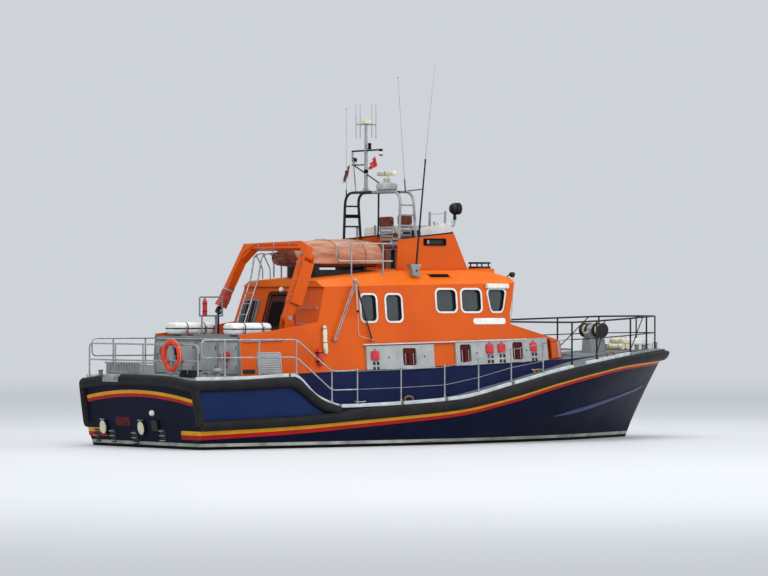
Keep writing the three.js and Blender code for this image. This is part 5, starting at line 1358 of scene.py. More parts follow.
def make_transom_fittings():
    shape = Shape()
    half, wide = ARC["half"], ARC["wide"]
    places = spread(-half, half, 24)
    for up, mark in ((0, 0), (-wide, 1)):
        shape.loft([[on_transom(y, arc_height(y) + up + b, d)
                     for b, d in ((-wide, -0.01), (-wide, 0.005), (0, 0.005), (0, -0.01))] for y in places],
                   mark)
    band = stripe(STERN)
    top = SECTIONS[0][8] * MM
    for side in (-1, 1):
        between = top - band * (1 - LOWER_BAND)
        for low, high, mark in ((top - band, between, 1), (between, top, 0)):
            shape.plate([(side * 2.55, low), (side * 2.565, high), (side * 1.72, high), (side * 1.68, low)],
                        on_transom, (-0.01, 0.005), mark)
    for y, z in EXHAUSTS:
        for grow, depths, mark in ((1.18, (-0.01, 0.05), 2), (1, (0.02, 0.075), 3)):
            oval = [(y + 0.125 * grow * math.cos(a), z + 0.165 * grow * math.sin(a)) for a in circle(28)]
            shape.plate(oval, on_transom, depths, mark)
        feet = [on_transom(y + step, z + 0.2, 0.01) for step in (-0.1, 0.1)]
        shape.staple(*feet, (-0.05, 0, 0), 0.014, 4, sides=8)
    for y, z in STEPS:
        for up in (0, 0.12, 0.24):
            route = ((-0.09, 0), (-0.08, 0.08), (0.08, 0.08), (0.09, 0))
            shape.tube([on_transom(y + step, z + up, out) for step, out in route], 0.013, 4, fillet=0.03)
        shape.plate(rounded(y - 0.12, y + 0.12, z - 0.04, z + 0.29, 0.02), on_transom, (-0.01, 0.006), 2)
    shape.plate(rounded(0.55, 1.2, 0.53, 0.76, 0.02), on_transom, (-0.01, 0.012), 5)
    lamp = on_transom(-0.52, 0.88, 0)
    shape.turned(((0, 0), (0.075, 0), (0.075, 0.03), (0.06, 0.07), (0.03, 0.09), (0, 0.094)), lamp,
                 (-1, 0, 0), 6, 20)
    shape.plate(rounded(-0.72, -0.46, 0.42, 0.7, 0.05), on_transom, (-0.01, 0.05), 2)
    shape.make("transom_fittings", ["yellow", "crimson", "black", "cream", "steel", "maroon", "plastic"],
               slot="white_plastic", smooth=50)
    roller = Shape()
    turns = [math.radians(a) for a in range(-20, 131, 15)]
    roller.loft([[(-8.505 - r * math.cos(a), y, 1.695 + r * math.sin(a))
                  for r, a in [*[(0.146, a) for a in turns], *[(0.152, a) for a in reversed(turns)]]]
                 for y in (0.66, 1.38)], 0)
    for y in (0.66, 1.36):
        roller.box((-8.5, y, 1.78), (-8.3, y + 0.02, 1.9), 0)
    roller.tube([(-8.4, 0.67, 1.87), (-8.4, 1.37, 1.87)], 0.035, 0, sides=16)
    roller.make("stern_roller", ["alloy"], slot="stainless", smooth=40, bevel=0.002)


make_transom_fittings()

# Spray rails on the bow, and fairleads, cleats and bitts along the sides
SPRAY = ((2.9, 0.66), (4.4, 0.86), (6.0, 1.07), (7.2, 1.25), (8.0, 1.38))
FAIRLEADS, CLEATS, BITTS = (2.27, -2.0, 5.2), (2.6, -3.2), (-8.0, 7.1)


def hull_side(x, z, side, out):
    s = section(x)
    y = mix(s["chineY"], s["fenderY"], (z - s["chineZ"]) / (s["fenderLow"] - s["chineZ"]))
    return hull_point(s, side, y + out, z)


def make_side_trim(name, side):
    shape = Shape()
    places = flowing([(x, z, 0) for x, z in SPRAY], 6)
    rings = []
    for i, (x, z, _) in enumerate(places):
        grow = min(1, (i + 0.3) / 3, (len(places) - i - 0.5) / 3)
        rings.append([hull_side(x, z + up * grow, side, out * grow) for up, out in
                      ((-0.05, -0.01), (-0.035, 0.035), (0.03, 0.04), (0.06, -0.01))])
    # The rail takes the lighter blue of painted highlight.
    shape.loft(rings, 0)
    for x in FAIRLEADS:
        lead = deck_edge(x, side, 0.11, 0.12)
        loop = [lead + Vector((0.13 * math.cos(a), 0, 0.075 * math.sin(a))) for a in circle(20)]
        shape.tube(loop, 0.024, 1, looped=True)
        shape.box(lead - Vector((0.15, 0.035, 0.13)), lead + Vector((0.15, 0.035, -0.08)), 1)
    for x in CLEATS:
        at = deck_edge(x, side, 0.55, 0.03)
        for step in (-0.07, 0.07):
            shape.tube([at + Vector((step, 0, -0.03)), at + Vector((step, 0, 0.07))], 0.018, 2)
        shape.tube([at + Vector((-0.17, 0, 0.085)), at + Vector((-0.07, 0, 0.075)),
                    at + Vector((0.07, 0, 0.075)), at + Vector((0.17, 0, 0.085))], 0.017, 2)
    for x in BITTS:
        at = deck_edge(x, side, 0.3, 0)
        for step in (-0.12, 0.12):
            shape.turned(((0, -0.02), (0.055, -0.02), (0.055, 0.17), (0.07, 0.18), (0.07, 0.2), (0, 0.205)),
                         at + Vector((step, 0, 0)), mark=3, sides=18)
        shape.box(at - Vector((0.2, 0.09, 0.02)), at + Vector((0.2, 0.09, 0.02)), 3)
    shape.make(f"side_trim_{name}", ["spray", "bronze", "steel", "grey"], slot="grey_paint", smooth=50,
               bevel=0.002)


both_sides(make_side_trim)


# Davit: canvas boot, hook, pins and pipes, in the davit's own raked plane
DAVIT = {"x": -4.88, "y": -1.38, "z": 3.24, "rake": math.radians(20), "knuckle": 1.68}
BOOT = {"span": (-0.04, 0.52), "grow": (1.06, 0.9)}
LEG_END = Vector((1.74, 0.36))
LEG_ALONG = Vector((0.2527, -0.9675))
LEG_OUT = Vector((0.9675, 0.2527))


def on_davit(y, s, n=0.0):
    """A point at a breadth, a length up the davit's raked plane, and a depth forward of it."""
    sine, cosine = math.sin(DAVIT["rake"]), math.cos(DAVIT["rake"])
    return Vector((DAVIT["x"] + s * sine + n * cosine, y, DAVIT["z"] + s * cosine - n * sine))


def on_leg(up, out, n):
    """A point on the jib's end: a length up from its tip, and two depths from its middle."""
    at = LEG_END - LEG_ALONG * up + LEG_OUT * out
    return on_davit(at.x, at.y, n)


def make_boot():
    low, high = BOOT["span"]
    shape = Shape()
    rings = []
    for i, up in enumerate(spread(low, high, 25)):
        grow = mix(*BOOT["grow"], i / 25) * (0.93 if i in (20, 21) else 1)
        ring = []
        for a, b in rounded(-0.118, 0.118, -0.125, 0.125, 0.045, 6):
            angle = math.atan2(b, a)
            fold = 0.006 * math.sin(5 * angle + 17 * up) + 0.004 * math.sin(11 * angle - 40 * up)
            ring.append(on_leg(up, a * grow + fold * math.cos(angle), b * grow + fold * math.sin(angle)))
        rings.append(ring)
    shape.loft(rings, 0, caps=False)
    cloth = shape.make("davit_boot_canvas", ["boot"], body="davit_jib", slot="canvas_boot", smooth=80)
    thick = cloth.modifiers.new("cloth", "SOLIDIFY")
    thick.thickness = 0.003
    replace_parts(cloth, "davit_boot")
    hem = [on_leg(low, a, b) for a, b in rounded(-0.128, 0.128, -0.135, 0.135, 0.045, 6)]
    straps = Shape().tube(hem, 0.009, 1, looped=True, sides=8)
    for up in (0.415, 0.44):
        grow = mix(*BOOT["grow"], (up - low) / (high - low)) * 0.94
        loop = [on_leg(up, a * grow, b * grow) for a, b in rounded(-0.124, 0.124, -0.131, 0.131, 0.045, 6)]
        straps.tube(loop, 0.007, 0, looped=True, sides=8)
    strap = straps.make("davit_boot_ties", ["rope", "boot"], body="davit_jib", slot="canvas_boot", smooth=60)


def make_davit_gear():
    across = on_davit(0, 0, 1) - on_davit(0, 0, 0)
    jib = Shape().tube([on_leg(0.02, 0, 0), on_leg(-0.1, 0, 0)], 0.05, 0, sides=16)
    for n in (-0.045, 0.045):
        jib.loft([[on_leg(up, out, n + d) for up, out in rounded(-0.25, -0.06, -0.075, 0.075, 0.06)]
                  for d in (-0.014, 0.014)], 1)
    sheave = ((0, -0.03), (0.06, -0.03), (0.045, 0), (0.06, 0.03), (0, 0.03))
    jib.turned(sheave, on_leg(-0.15, 0, 0), across, 3, 20)
    hook = ((-0.16, 0), (-0.3, 0), (-0.36, 0.05), (-0.42, 0), (-0.37, -0.05))
    jib.tube([on_leg(up, out, 0) for up, out in hook], 0.014, 3, fillet=0.05)
    pipe = [on_davit(y, s, -0.106) for y, s in ((-1.05, 1.94), (0.9, 1.94), (1.28, 1.75), (1.46, 1.1))]
    for d in (0, 0.035):
        jib.tube([p + Vector((0, 0, d)) for p in pipe], 0.009, 2, sides=8, fillet=0.15)
    for y in (-0.7, 0.0, 0.7):
        clip = on_davit(y, 1.955, -0.11)
        jib.box(clip - Vector((0.012, 0.02, 0.04)), clip + Vector((0.012, 0.02, 0.04)), 3)
    jib.make("davit_jib_gear", ["black", "maroon", "orange", "steel"], body="davit_jib", slot="black_paint",
             smooth=50)
    arm = Shape()
    for s, r in ((DAVIT["knuckle"], 0.06), (1.43, 0.03), (0.47, 0.03)):
        for n, out in ((-0.13, -1), (0.21, 1)):
            cap = ((0, 0), (r, 0), (r, 0.012 * out), (r * 0.6, 0.016 * out), (r * 0.6, 0.03 * out),
                   (0, 0.032 * out))
            arm.turned(cap, on_davit(DAVIT["y"], s, n), across, 0, 18)
    for y in (-1.5, -1.47):
        pipe = ((0, 0.15, -0.125), (0, 0.38, -0.14), (0, 1.5, -0.14), (0.1, 1.62, -0.135))
        arm.tube([on_davit(y + step, s, n) for step, s, n in pipe], 0.009, 1, sides=8, fillet=0.06)
    for s in (0.6, 1.0, 1.4):
        clip = on_davit(-1.485, s, -0.135)
        arm.box(clip - Vector((0.02, 0.045, 0.012)), clip + Vector((0.012, 0.045, 0.012)), 0)
    arm.make("davit_arm_gear", ["alloy", "orange"], body="davit_arm", slot="black_paint", smooth=50)
    pin = ((0, 0), (0.062, 0), (0.058, 0.014), (0.03, 0.016), (0.03, 0.03), (0, 0.03))
    foot = Shape().turned(pin, (DAVIT["x"], DAVIT["y"] - 0.12, DAVIT["z"]), (0, -1, 0), 0, 20)
    foot.make("davit_foot_pin", ["alloy"], slot="stainless", smooth=50)


RAM = {"y": -1.2, "foot": (-4.5, 2.96), "reach": 0.66}


def make_ram():
    foot = Vector((RAM["foot"][0], RAM["y"], RAM["foot"][1]))
    head = on_davit(RAM["y"], RAM["reach"])
    axis = head - foot
    along = axis.normalized()
    bore = ((0, 0.03), (0.042, 0.035), (0.05, 0.06), (0.05, 0.1), (0.042, 0.11), (0.042, 0.62), (0.052, 0.63),
            (0.052, 0.685), (0.045, 0.69), (0.0255, 0.69), (0.0255, 0.2), (0, 0.2))
    barrel = Shape().turned(bore, foot, axis, 0, 24)
    barrel.disc(0.048, -0.04, 0.04, foot, (0, 1, 0), 1, 20)
    pipe = ((0.12, 0.05), (0.4, 0.06), (0.62, 0.05))
    barrel.tube([foot + along * up + Vector((fore, 0, 0)) for up, fore in pipe], 0.009, 1, sides=8)
    barrel.make("ram_barrel_tube", ["red", "steel"], "davit_ram_barrel", body="ram_barrel", slot="red_paint",
                smooth=45)
    rod = Shape().tube([foot + along * 0.42, head - along * 0.02], 0.024, 0, sides=20)
    rod.disc(0.048, -0.026, 0.026, head, (0, 1, 0), 0, 20)
    rod.disc(0.034, 0, 0.05, foot + along * (axis.length - 0.1), axis, 0, 6)
    rod.make("ram_rod_bar", ["steel"], "davit_ram_rod", body="ram_rod", slot="stainless", smooth=45)


make_boot()
make_davit_gear()
make_ram()

# Recovery frames against the house sides, each with its tackle
AFRAME = {"x": (-3.83, -2.67), "y": 2.01, "z": 2.69, "apex": (-3.1, 1.88, 4.16)}


def make_recovery_frame(name, side):
    ax, ay, az = AFRAME["apex"]
    apex = Vector((ax, side * ay, az))
    aft, fore = (Vector((x, side * AFRAME["y"], AFRAME["z"])) for x in AFRAME["x"])
    shape = Shape()
    for step in (-0.032, 0.032):
        slip = Vector((step, 0, 0))
        shape.tube([aft + slip, mix(aft, apex, 0.9) + slip, apex + slip * 0.4], 0.014, 0, sides=12)
    for t in (0.2, 0.42, 0.64, 0.86):
        at = aft.lerp(apex, t)
        shape.box(at - Vector((0.045, 0.012, 0.01)), at + Vector((0.045, 0.012, 0.01)), 0)
    shape.tube([fore, apex], 0.018, 1, sides=12)
    shape.turned(((0, -0.05), (0.05, -0.05), (0.06, 0), (0.05, 0.05), (0, 0.05)), apex, (1, 0, 0), 0, 18)
    shape.ball(apex + Vector((0, 0, 0.06)), 0.036, 2)
    for foot in (aft, fore):
        shape.disc(0.032, -0.03, 0.03, foot, (1, 0, 0), 0, 16)
    low = aft.lerp(fore, 0.62) + Vector((0, side * 0.03, 0.12))
    mid = Vector((mix(apex.x, low.x, 0.55), side * 1.99, mix(apex.z, low.z, 0.55)))
    for step in (-0.018, 0, 0.018):
        shape.tube([apex + Vector((step, side * 0.03, -0.04)), mid + Vector((step, 0, 0))], 0.006, 3, sides=6)
    shape.turned(((0, -0.02), (0.032, -0.02), (0.038, 0), (0.032, 0.02), (0, 0.02)), mid, (0, 1, 0), 1, 16)
    shape.tube([mid, low, fore.lerp(aft, 0.2) + Vector((0, side * 0.02, 0.05)), fore], 0.006, 3, sides=6,
               fillet=0.05)
    shape.tube([apex + Vector((0.05, side * 0.02, 0)), fore + Vector((-0.12, side * 0.02, 0.06)), fore],
               0.005, 1, sides=6, fillet=0.05)
    shape.make(f"recovery_frame_tubes_{name}", ["alloy", "black", "toe", "rope"], f"recovery_frame_{name}",
               body=f"recovery_frame_{name}", slot="stainless", smooth=50)


both_sides(make_recovery_frame)

# Doorway in the raked aft wall
AFT_RAKE = (-4.0, 0.303, 4.04)  # x, the lean, and the height at which x is measured
DOOR = {"y": (-0.379, 0.515), "z": (2.206, 3.83), "thick": 0.045}


def aft_wall(y, z, out):
    """Lays a breadth, a height and a depth aft of the raked aft wall."""
    return Vector((AFT_RAKE[0] - AFT_RAKE[1] * (AFT_RAKE[2] - z) - out, y, z))


def make_doorway():
    (y0, y1), (z0, z1) = DOOR["y"], DOOR["z"]
    door = Shape()
    # The door is drawn dark red with a near-black pane and edges: painted shade of the shadowed doorway.
    outline = rounded(y0 + 0.05, y1 - 0.05, z0 + 0.06, z1 - 0.06, 0.06)
    pane = rounded(y0 + 0.17, y1 - 0.17, 3.0, 3.66, 0.09)
    door.plate(outline, aft_wall, (0, 0.008), 0, pane)
    door.plate(rounded(y0 + 0.14, y1 - 0.14, 2.97, 3.69, 0.11), aft_wall, (0, 0.018), 1, pane)
    door.plate(pane, aft_wall, (0, 0.004), 2)
    door.plate(outline, aft_wall, (-0.002, 0.006), 2)
    door.plate(rounded(y0 + 0.16, y1 - 0.16, 2.36, 2.82, 0.05), aft_wall, (0.008, 0.018), 0)
    door.tube([aft_wall(y0 + 0.09, 2.92, 0.008), aft_wall(y0 + 0.09, 2.92, 0.055),
               aft_wall(y0 + 0.24, 2.92, 0.055)], 0.012, 3, fillet=0.02)
    door.disc(0.03, 0, 0.012, aft_wall(y0 + 0.09, 2.92, 0.004), (-1, 0, 0), 3, 16)
    for z in (z0 + 0.02, z1 - 0.05):
        door.plate(rounded(y0 + 0.1, y1 - 0.1, z, z + 0.025, 0.01), aft_wall, (0, 0.012), 1)
    door.make("door_panel", ["maroon", "black", "dark", "steel"], body="aft_door", slot="grey_paint",
              smooth=45)
    casing = Shape()
    frame_out = rounded(y0 - 0.075, y1 + 0.075, z0 - 0.075, z1 + 0.095, 0.09)
    frame_in = rounded(y0 - 0.02, y1 + 0.02, z0 - 0.02, z1 + 0.035, 0.04)
    casing.plate(frame_out, aft_wall, (-0.01, 0.028), 0, frame_in)
    low, high = y1 + 0.4, y1 + 1.14
    panel = rounded(low, high, 2.86, 3.72, 0.05)
    casing.plate(panel, aft_wall, (-0.01, 0.012), 4)
    casing.plate(panel, aft_wall, (0.012, 0.028), 5, rounded(low + 0.04, high - 0.04, 2.9, 3.68, 0.03))
    for k, y in enumerate(spread(low, high, 9)[1:-1], 1):
        slat = rounded(y - 0.012, y + 0.012, 2.9, 3.68, 0.005)
        casing.plate(slat, aft_wall, (0.0, 0.024), 1 if k % 3 == 0 else 5)
    for z in (3.1, 3.5):
        casing.staple(aft_wall(-1.75, z, 0), aft_wall(-0.95, z, 0), (-0.07, 0, 0), 0.014, 2, fillet=0.03)
    lamp = aft_wall(0.06, 3.97, 0)
    casing.turned(((0, 0), (0.07, 0), (0.07, 0.03), (0.05, 0.07), (0, 0.08)), lamp, (-1, 0, 0), 3, 20)
    casing.make("doorway_frame", ["black", "maroon", "steel", "plastic", "dark", "grey"], slot="house_orange",
                smooth=45, bevel=0.003)


make_doorway()

# Gear on the aft deck, and the frame that holds a red cylinder over the casing
STAND = {"y": 0.85, "x": (-6.04, -5.34), "deck": 2.78}


def make_aft_gear():
    shape = Shape()
    shape.slab((-8.12, -7.8, -1.86, -1.3, 0.04), (1.76, 1.94), 0)
    shape.slab((-8.14, -7.78, -1.88, -1.28, 0.04), (1.94, 1.965), 0)
    for y in (-1.75, -1.41):
        shape.tube([(-8.13, y, 1.88), (-8.16, y, 1.88), (-8.16, y, 1.93), (-8.13, y, 1.95)], 0.008, 2,
                   sides=8)
    shape.box((-8.02, 0.56, 1.76), (-7.62, 2.18, 2.06), 1)
    shape.box((-8.05, 0.54, 2.09), (-7.59, 2.2, 2.13), 1)
    for y in spread(0.6, 2.1, 12):
        shape.box((-8.05, y - 0.028, 1.8), (-8.015, y + 0.028, 2.1), 1)
    for y in (0.9, 1.82):
        shape.staple((-8.03, y - 0.05, 2.11), (-8.03, y + 0.05, 2.11), (-0.04, 0, 0), 0.008, 2, sides=8)
    for y in (-0.42, 0.0):
        shape.turned(((0, 1.78), (0.1, 1.78), (0.1, 1.87), (0.07, 1.9), (0.07, 2.12), (0.11, 2.16),
                      (0.11, 2.2), (0, 2.2)), (-7.5, y, 0), mark=3, sides=20)
    shape.box((-7.63, -0.6, 1.78), (-7.37, 0.18, 1.86), 3)
    for side in (-1, 1):
        shape.turned(((0, 0), (0.05, 0), (0.05, 0.11), (0.11, 0.13), (0.12, 0.17), (0.09, 0.22), (0, 0.23)),
                     (-7.25, side * 1.75, 1.78), mark=1, sides=20)
    shape.make("aft_deck_gear", ["black", "locker", "steel", "grey"], slot="grey_paint", smooth=40,
               bevel=0.006)
    stand = Shape()
    y, (aft, fore), deck = STAND["y"], STAND["x"], STAND["deck"]
    stand.staple((aft, y, 3.28), (fore, y, 3.28), (0, 0, 0.5), 0.021, 0, fillet=0.04, sides=12)
    stand.tube([(aft, y, 3.3), (fore, y, 3.3)], 0.021, 0, sides=12)
    for x, top, r, mark, sides in ((-5.53, 3.3, 0.03, 0, 14), (-5.46, 3.5, 0.024, 1, 14),
                                   (-5.97, 3.3, 0.02, 0, 12)):
        stand.tube([(x, y, deck), (x, y, top)], r, mark, sides=sides)
    for x, r in ((-5.53, 0.07), (-5.97, 0.05)):
        stand.disc(r, 0, 0.012, (x, y, deck), mark=0, sides=16)
    bottle = ((0, 3.31), (0.055, 3.31), (0.06, 3.34), (0.06, 3.66), (0.045, 3.71), (0.02, 3.73),
              (0.02, 3.76), (0, 3.76))
    stand.turned(bottle, (-5.93, y - 0.075, 0), mark=2, sides=20)
    for z in (3.4, 3.6):
        band = ((0.05, z), (0.065, z), (0.065, z + 0.022), (0.05, z + 0.022))
        stand.turned(band, (-5.93, y - 0.075, 0), mark=3, sides=20)
    stand.make("aft_light_frame", ["grey", "coaming", "red", "black"], slot="grey_paint", smooth=45)


make_aft_gear()

# Flying bridge: two helm seats, their covers, console fittings and short posts
BRIDGE_FLOOR = 4.5
BRIDGE_POSTS = (((0.2, -0.61, 5.33), (0.2, -0.61, 5.99)), ((0.42, -0.96, 5.43), (0.45, -0.96, 6.01)),
                ((-0.79, 1.24, 5.3), (-0.79, 1.25, 5.62)), ((-0.21, 1.24, 5.36), (-0.21, 1.25, 5.66)))
WHEEL_R = 0.17
BRIDGE_SEATS = ((-0.65, -0.62, 5.64, 5.91, "starboard"), (0.02, -0.72, 5.6, 5.87, "port"))


def crowned_pad(shape, place, a0, a1, b0, b1, thick, mark=0, crown=0.3, corner=0.05):
    """A crowned pad: its rim rolls over on both faces, and its middle swells."""
    middle = ((a0 + a1) / 2, (b0 + b1) / 2)
    outline = rounded(a0, a1, b0, b1, corner, 4)
    levels = ((0.6, -0.5), (0.9, -0.46), (0.985, -0.3), (1.0, 0.0), (0.985, 0.3), (0.9, 0.46),
              (0.62, 0.5 + crown * 0.6), (0.3, 0.5 + crown), (0.04, 0.5 + crown))
    rings = []
    for grow, up in levels:
        ring = []
        for k, (a, b) in enumerate(outline):
            pinch = 1 - 0.035 * math.sin(2 * math.pi * k / len(outline) * 4) ** 2
            ring.append(place(middle[0] + (a - middle[0]) * grow * pinch,
                              middle[1] + (b - middle[1]) * grow * pinch, up * thick))
        rings.append(ring)
    shape.loft(rings, mark)


def make_bridge_seats():
    stands = Shape()
    for y, x, low, high, name in BRIDGE_SEATS:
        foot = x + 0.19
        stands.turned(((0, BRIDGE_FLOOR - 0.03), (0.15, BRIDGE_FLOOR - 0.03), (0.15, BRIDGE_FLOOR + 0.02),
                       (0.05, BRIDGE_FLOOR + 0.05), (0.05, 4.98), (0.12, 5.0), (0, 5.0)), (foot, y, 0),
                      mark=1, sides=20)
        stands.box((x + 0.02, y - 0.22, 5.0), (x + 0.4, y + 0.22, 5.03), 0)
        for edge in (-0.26, 0.26):
            stands.tube([(x + 0.38, y + edge, 5.015), (x + 0.02, y + edge, 5.015), (x, y + edge, 5.1),
                         (x - 0.03, y + edge, high - 0.03)], 0.016, 0, sides=10, fillet=0.05)
            stands.tube([(x + 0.3, y + edge, 5.24), (x - 0.01, y + edge, 5.24)], 0.02, 1, sides=10)
        for z in spread(5.27, low - 0.04, 3):
            stands.box((x - 0.022, y - 0.26, z - 0.028), (x - 0.006, y + 0.26, z + 0.028), 0)
        pad = Shape()

        def seat(a, b, up):
            return Vector((x + a, y + b, 5.075 + up))

        def back(a, b, up):
            return Vector((x - 0.015 + up * 0.8, y + a, b))

        crowned_pad(pad, seat, 0.0, 0.4, -0.24, 0.24, 0.09)
        crowned_pad(pad, back, -0.29, 0.29, low, high, 0.13, crown=0.12, corner=0.07)
        made = pad.make(f"bridge_seat_pad_{name}", ["wine"], slot="canvas_boot", smooth=80)
    stands.make("bridge_seat_stands", ["alloy", "black"], slot="stainless", smooth=45, bevel=0.002)


def make_bridge_fittings():
    shape = Shape()
    for post in BRIDGE_POSTS:
        shape.tube(post, 0.03, 0, sides=12)
    shape.tube([(0.2, -0.61, 5.93), (0.45, -0.96, 5.95)], 0.008, 0, sides=8)
    shape.tube([(0.02, -1.2, 5.38), (-0.03, -1.1, 5.73)], 0.026, 0, sides=12)
    wheel = Vector((-0.22, -0.35, 5.12))
    tilt = Vector((-1, 0, 0.45)).normalized()
    side = Vector((0, 1, 0))
    upward = tilt.cross(side)

    def on_rim(a, r):
        return wheel + (side * math.cos(a) + upward * math.sin(a)) * r

    shape.tube([on_rim(a, WHEEL_R) for a in circle(28)], 0.013, 1, sides=8, looped=True)
    for a in circle(3, 0.75):
        shape.tube([wheel, on_rim(a, 0.165)], 0.008, 0, sides=6)
    shape.tube([wheel + Vector((-0.01, 0, 0.005)), wheel + Vector((0.12, 0, -0.05))], 0.026, 1, sides=12)
    for y in (-0.62, -0.05, 0.3):
        shape.loft([[Vector((x, y + b, z)) for b, z in rounded(-0.14, 0.14, 5.33, 5.52, 0.02, 2)]
                    for x in (0.1, 0.17)], 1)
    for y in (0.12, 0.17):
        shape.tube([(-0.08, y, 5.16), (-0.16, y, 5.28)], 0.008, 0, sides=8)
        shape.ball((-0.16, y, 5.28), 0.02, 1)
    for y in (-1.2375, 1.2375):
        shape.tube([(x, y, z) for x, z in ((-1.27, 5.275), (0.48, 5.445))], 0.026, 1, sides=10)
    shape.tube([(0.485, -1.2, 5.445), (0.485, 1.2, 5.445)], 0.024, 1, sides=10)
    for y in spread(-1.2, 1.2, 6):
        shape.tube([(0.45, y, 5.43), (0.36, y * 0.985, 5.6), (0.32, y * 0.98, 5.7)], 0.009, 1, sides=8)
    shape.make("bridge_fittings", ["alloy", "black"], slot="black_paint", smooth=50)


make_bridge_seats()
make_bridge_fittings()

# Inside the wheelhouse: crew seats on their rails, and the helm console's screens
CREW_Y = 0.76
CREW_SEATS = [(x, side * CREW_Y, f"{row}_{name}") for x, row in ((0.4, "fore"), (-1.5, "aft"))
              for name, side in SIDES]


def make_crew_seats():
    stands = Shape()
    for _, side in SIDES:
        y = side * CREW_Y
        for edge in (-0.024, 0.024):
            stands.box((-1.7, y + edge - 0.008, 2.0), (0.6, y + edge + 0.008, 2.14), 0)
        stands.box((-1.69, y - 0.026, 2.0), (0.59, y + 0.026, 2.02), 0)
    for x in (0.36, 0.44):
        stands.box((x - 0.016, -0.73, 2.0), (x + 0.016, 0.73, 2.14), 0)
    for x, y, name in CREW_SEATS:
        stands.box((x - 0.085, y - 0.085, 2.02), (x + 0.085, y + 0.085, 2.16), 0)
        for k in range(5):
            z = 2.17 + 0.055 * k
            stands.turned(((0, z), (0.07, z), (0.085, z + 0.027), (0.07, z + 0.055), (0, z + 0.055)),
                          (x, y, 0), mark=1, sides=16)
        stands.box((x - 0.2, y - 0.21, 2.45), (x + 0.22, y + 0.21, 2.475), 0)
        for edge in (-0.2, 0.2):
            stands.tube([(x - 0.16, y + edge, 2.47), (x - 0.19, y + edge, 2.6), (x - 0.29, y + edge, 3.3)],
                        0.016, 0, sides=10, fillet=0.05)
            stands.tube([(x - 0.2, y + edge * 1.12, 2.76), (x + 0.13, y + edge * 1.12, 2.78)], 0.024, 1,
                        sides=10)
        pad = Shape()

        def seat(a, b, up):
            return Vector((x + a, y + b, 2.525 + up))

        def back(a, b, up):
            return Vector((x - 0.155 - 0.09 * (b - 2.5) / 0.88 + up, y + a, b))

        crowned_pad(pad, seat, -0.2, 0.25, -0.235, 0.235, 0.1, crown=0.22)
        for low, high in ((2.62, 3.04), (3.06, 3.37)):
            crowned_pad(pad, back, -0.215, 0.215, low, high, 0.085, crown=0.22)
        made = pad.make(f"crew_seat_cushions_{name}", ["seat"], slot="crew_upholstery", smooth=80)
    stands.make("crew_seat_frames", ["alloy", "black"], "crew_seats", slot="crew_upholstery", smooth=45)


DESK_X, DESK_Z = (1.2, 1.5), (2.955, 3.155)
DESK_LEAN = math.atan2(DESK_Z[1] - DESK_Z[0], DESK_X[1] - DESK_X[0])


def desk(y, t, out):
    """Lays a breadth, a share of the way up the sloping desk, and a depth out from it."""
    x, z = mix(*DESK_X, t), mix(*DESK_Z, t)
    return Vector((x - math.sin(DESK_LEAN) * out, y, z + math.cos(DESK_LEAN) * out))


def make_helm():
    shape = Shape()
    for y in spread(-1.1, 1.1, 5):
        shape.plate(rounded(y - 0.19, y + 0.19, 0.18, 0.9, 0.03), desk, (-0.002, 0.014), 0)
        shape.plate(rounded(y - 0.165, y + 0.165, 0.26, 0.82, 0.02), desk, (0.014, 0.017), 1)
    for y in (-0.75, 0.0, 0.75):
        shape.box((1.58, y - 0.24, 3.15), (1.63, y + 0.24, 3.42), 0)
        shape.box((1.575, y - 0.21, 3.18), (1.58, y + 0.21, 3.39), 1)
        shape.box((1.6, y - 0.05, 3.15), (1.7, y + 0.05, 3.19), 0)
    hub = Vector((1.08, -0.76, 2.82))

    def on_rim(a):
        return hub + Vector((0.06 * math.sin(a), WHEEL_R * math.cos(a), 0.16 * math.sin(a)))

    shape.tube([on_rim(a) for a in circle(28)], 0.013, 0, sides=8, looped=True)
    shape.tube([hub, hub + Vector((0.08, 0, -0.01))], 0.03, 0, sides=12)
    for a in circle(3):
        shape.tube([hub, on_rim(a)], 0.009, 2, sides=6)
    for y in (0.05, 0.11):
        shape.tube([(1.22, y, 2.97), (1.15, y, 3.09)], 0.009, 2, sides=8)
        shape.ball((1.15, y, 3.09), 0.022, 0)
    shape.make("helm_fittings", ["black", "dark", "alloy"], slot="black_paint", smooth=45)


make_crew_seats()
make_helm()

# Foredeck: windlass, anchor locker box, rolled nets, hatch handles
WINDLASS = {"x": (5.85, 6.45), "half": 0.26, "z": (2.27, 2.72), "drum": (6.15, 2.88), "reach": 0.42, "r": 0.2}


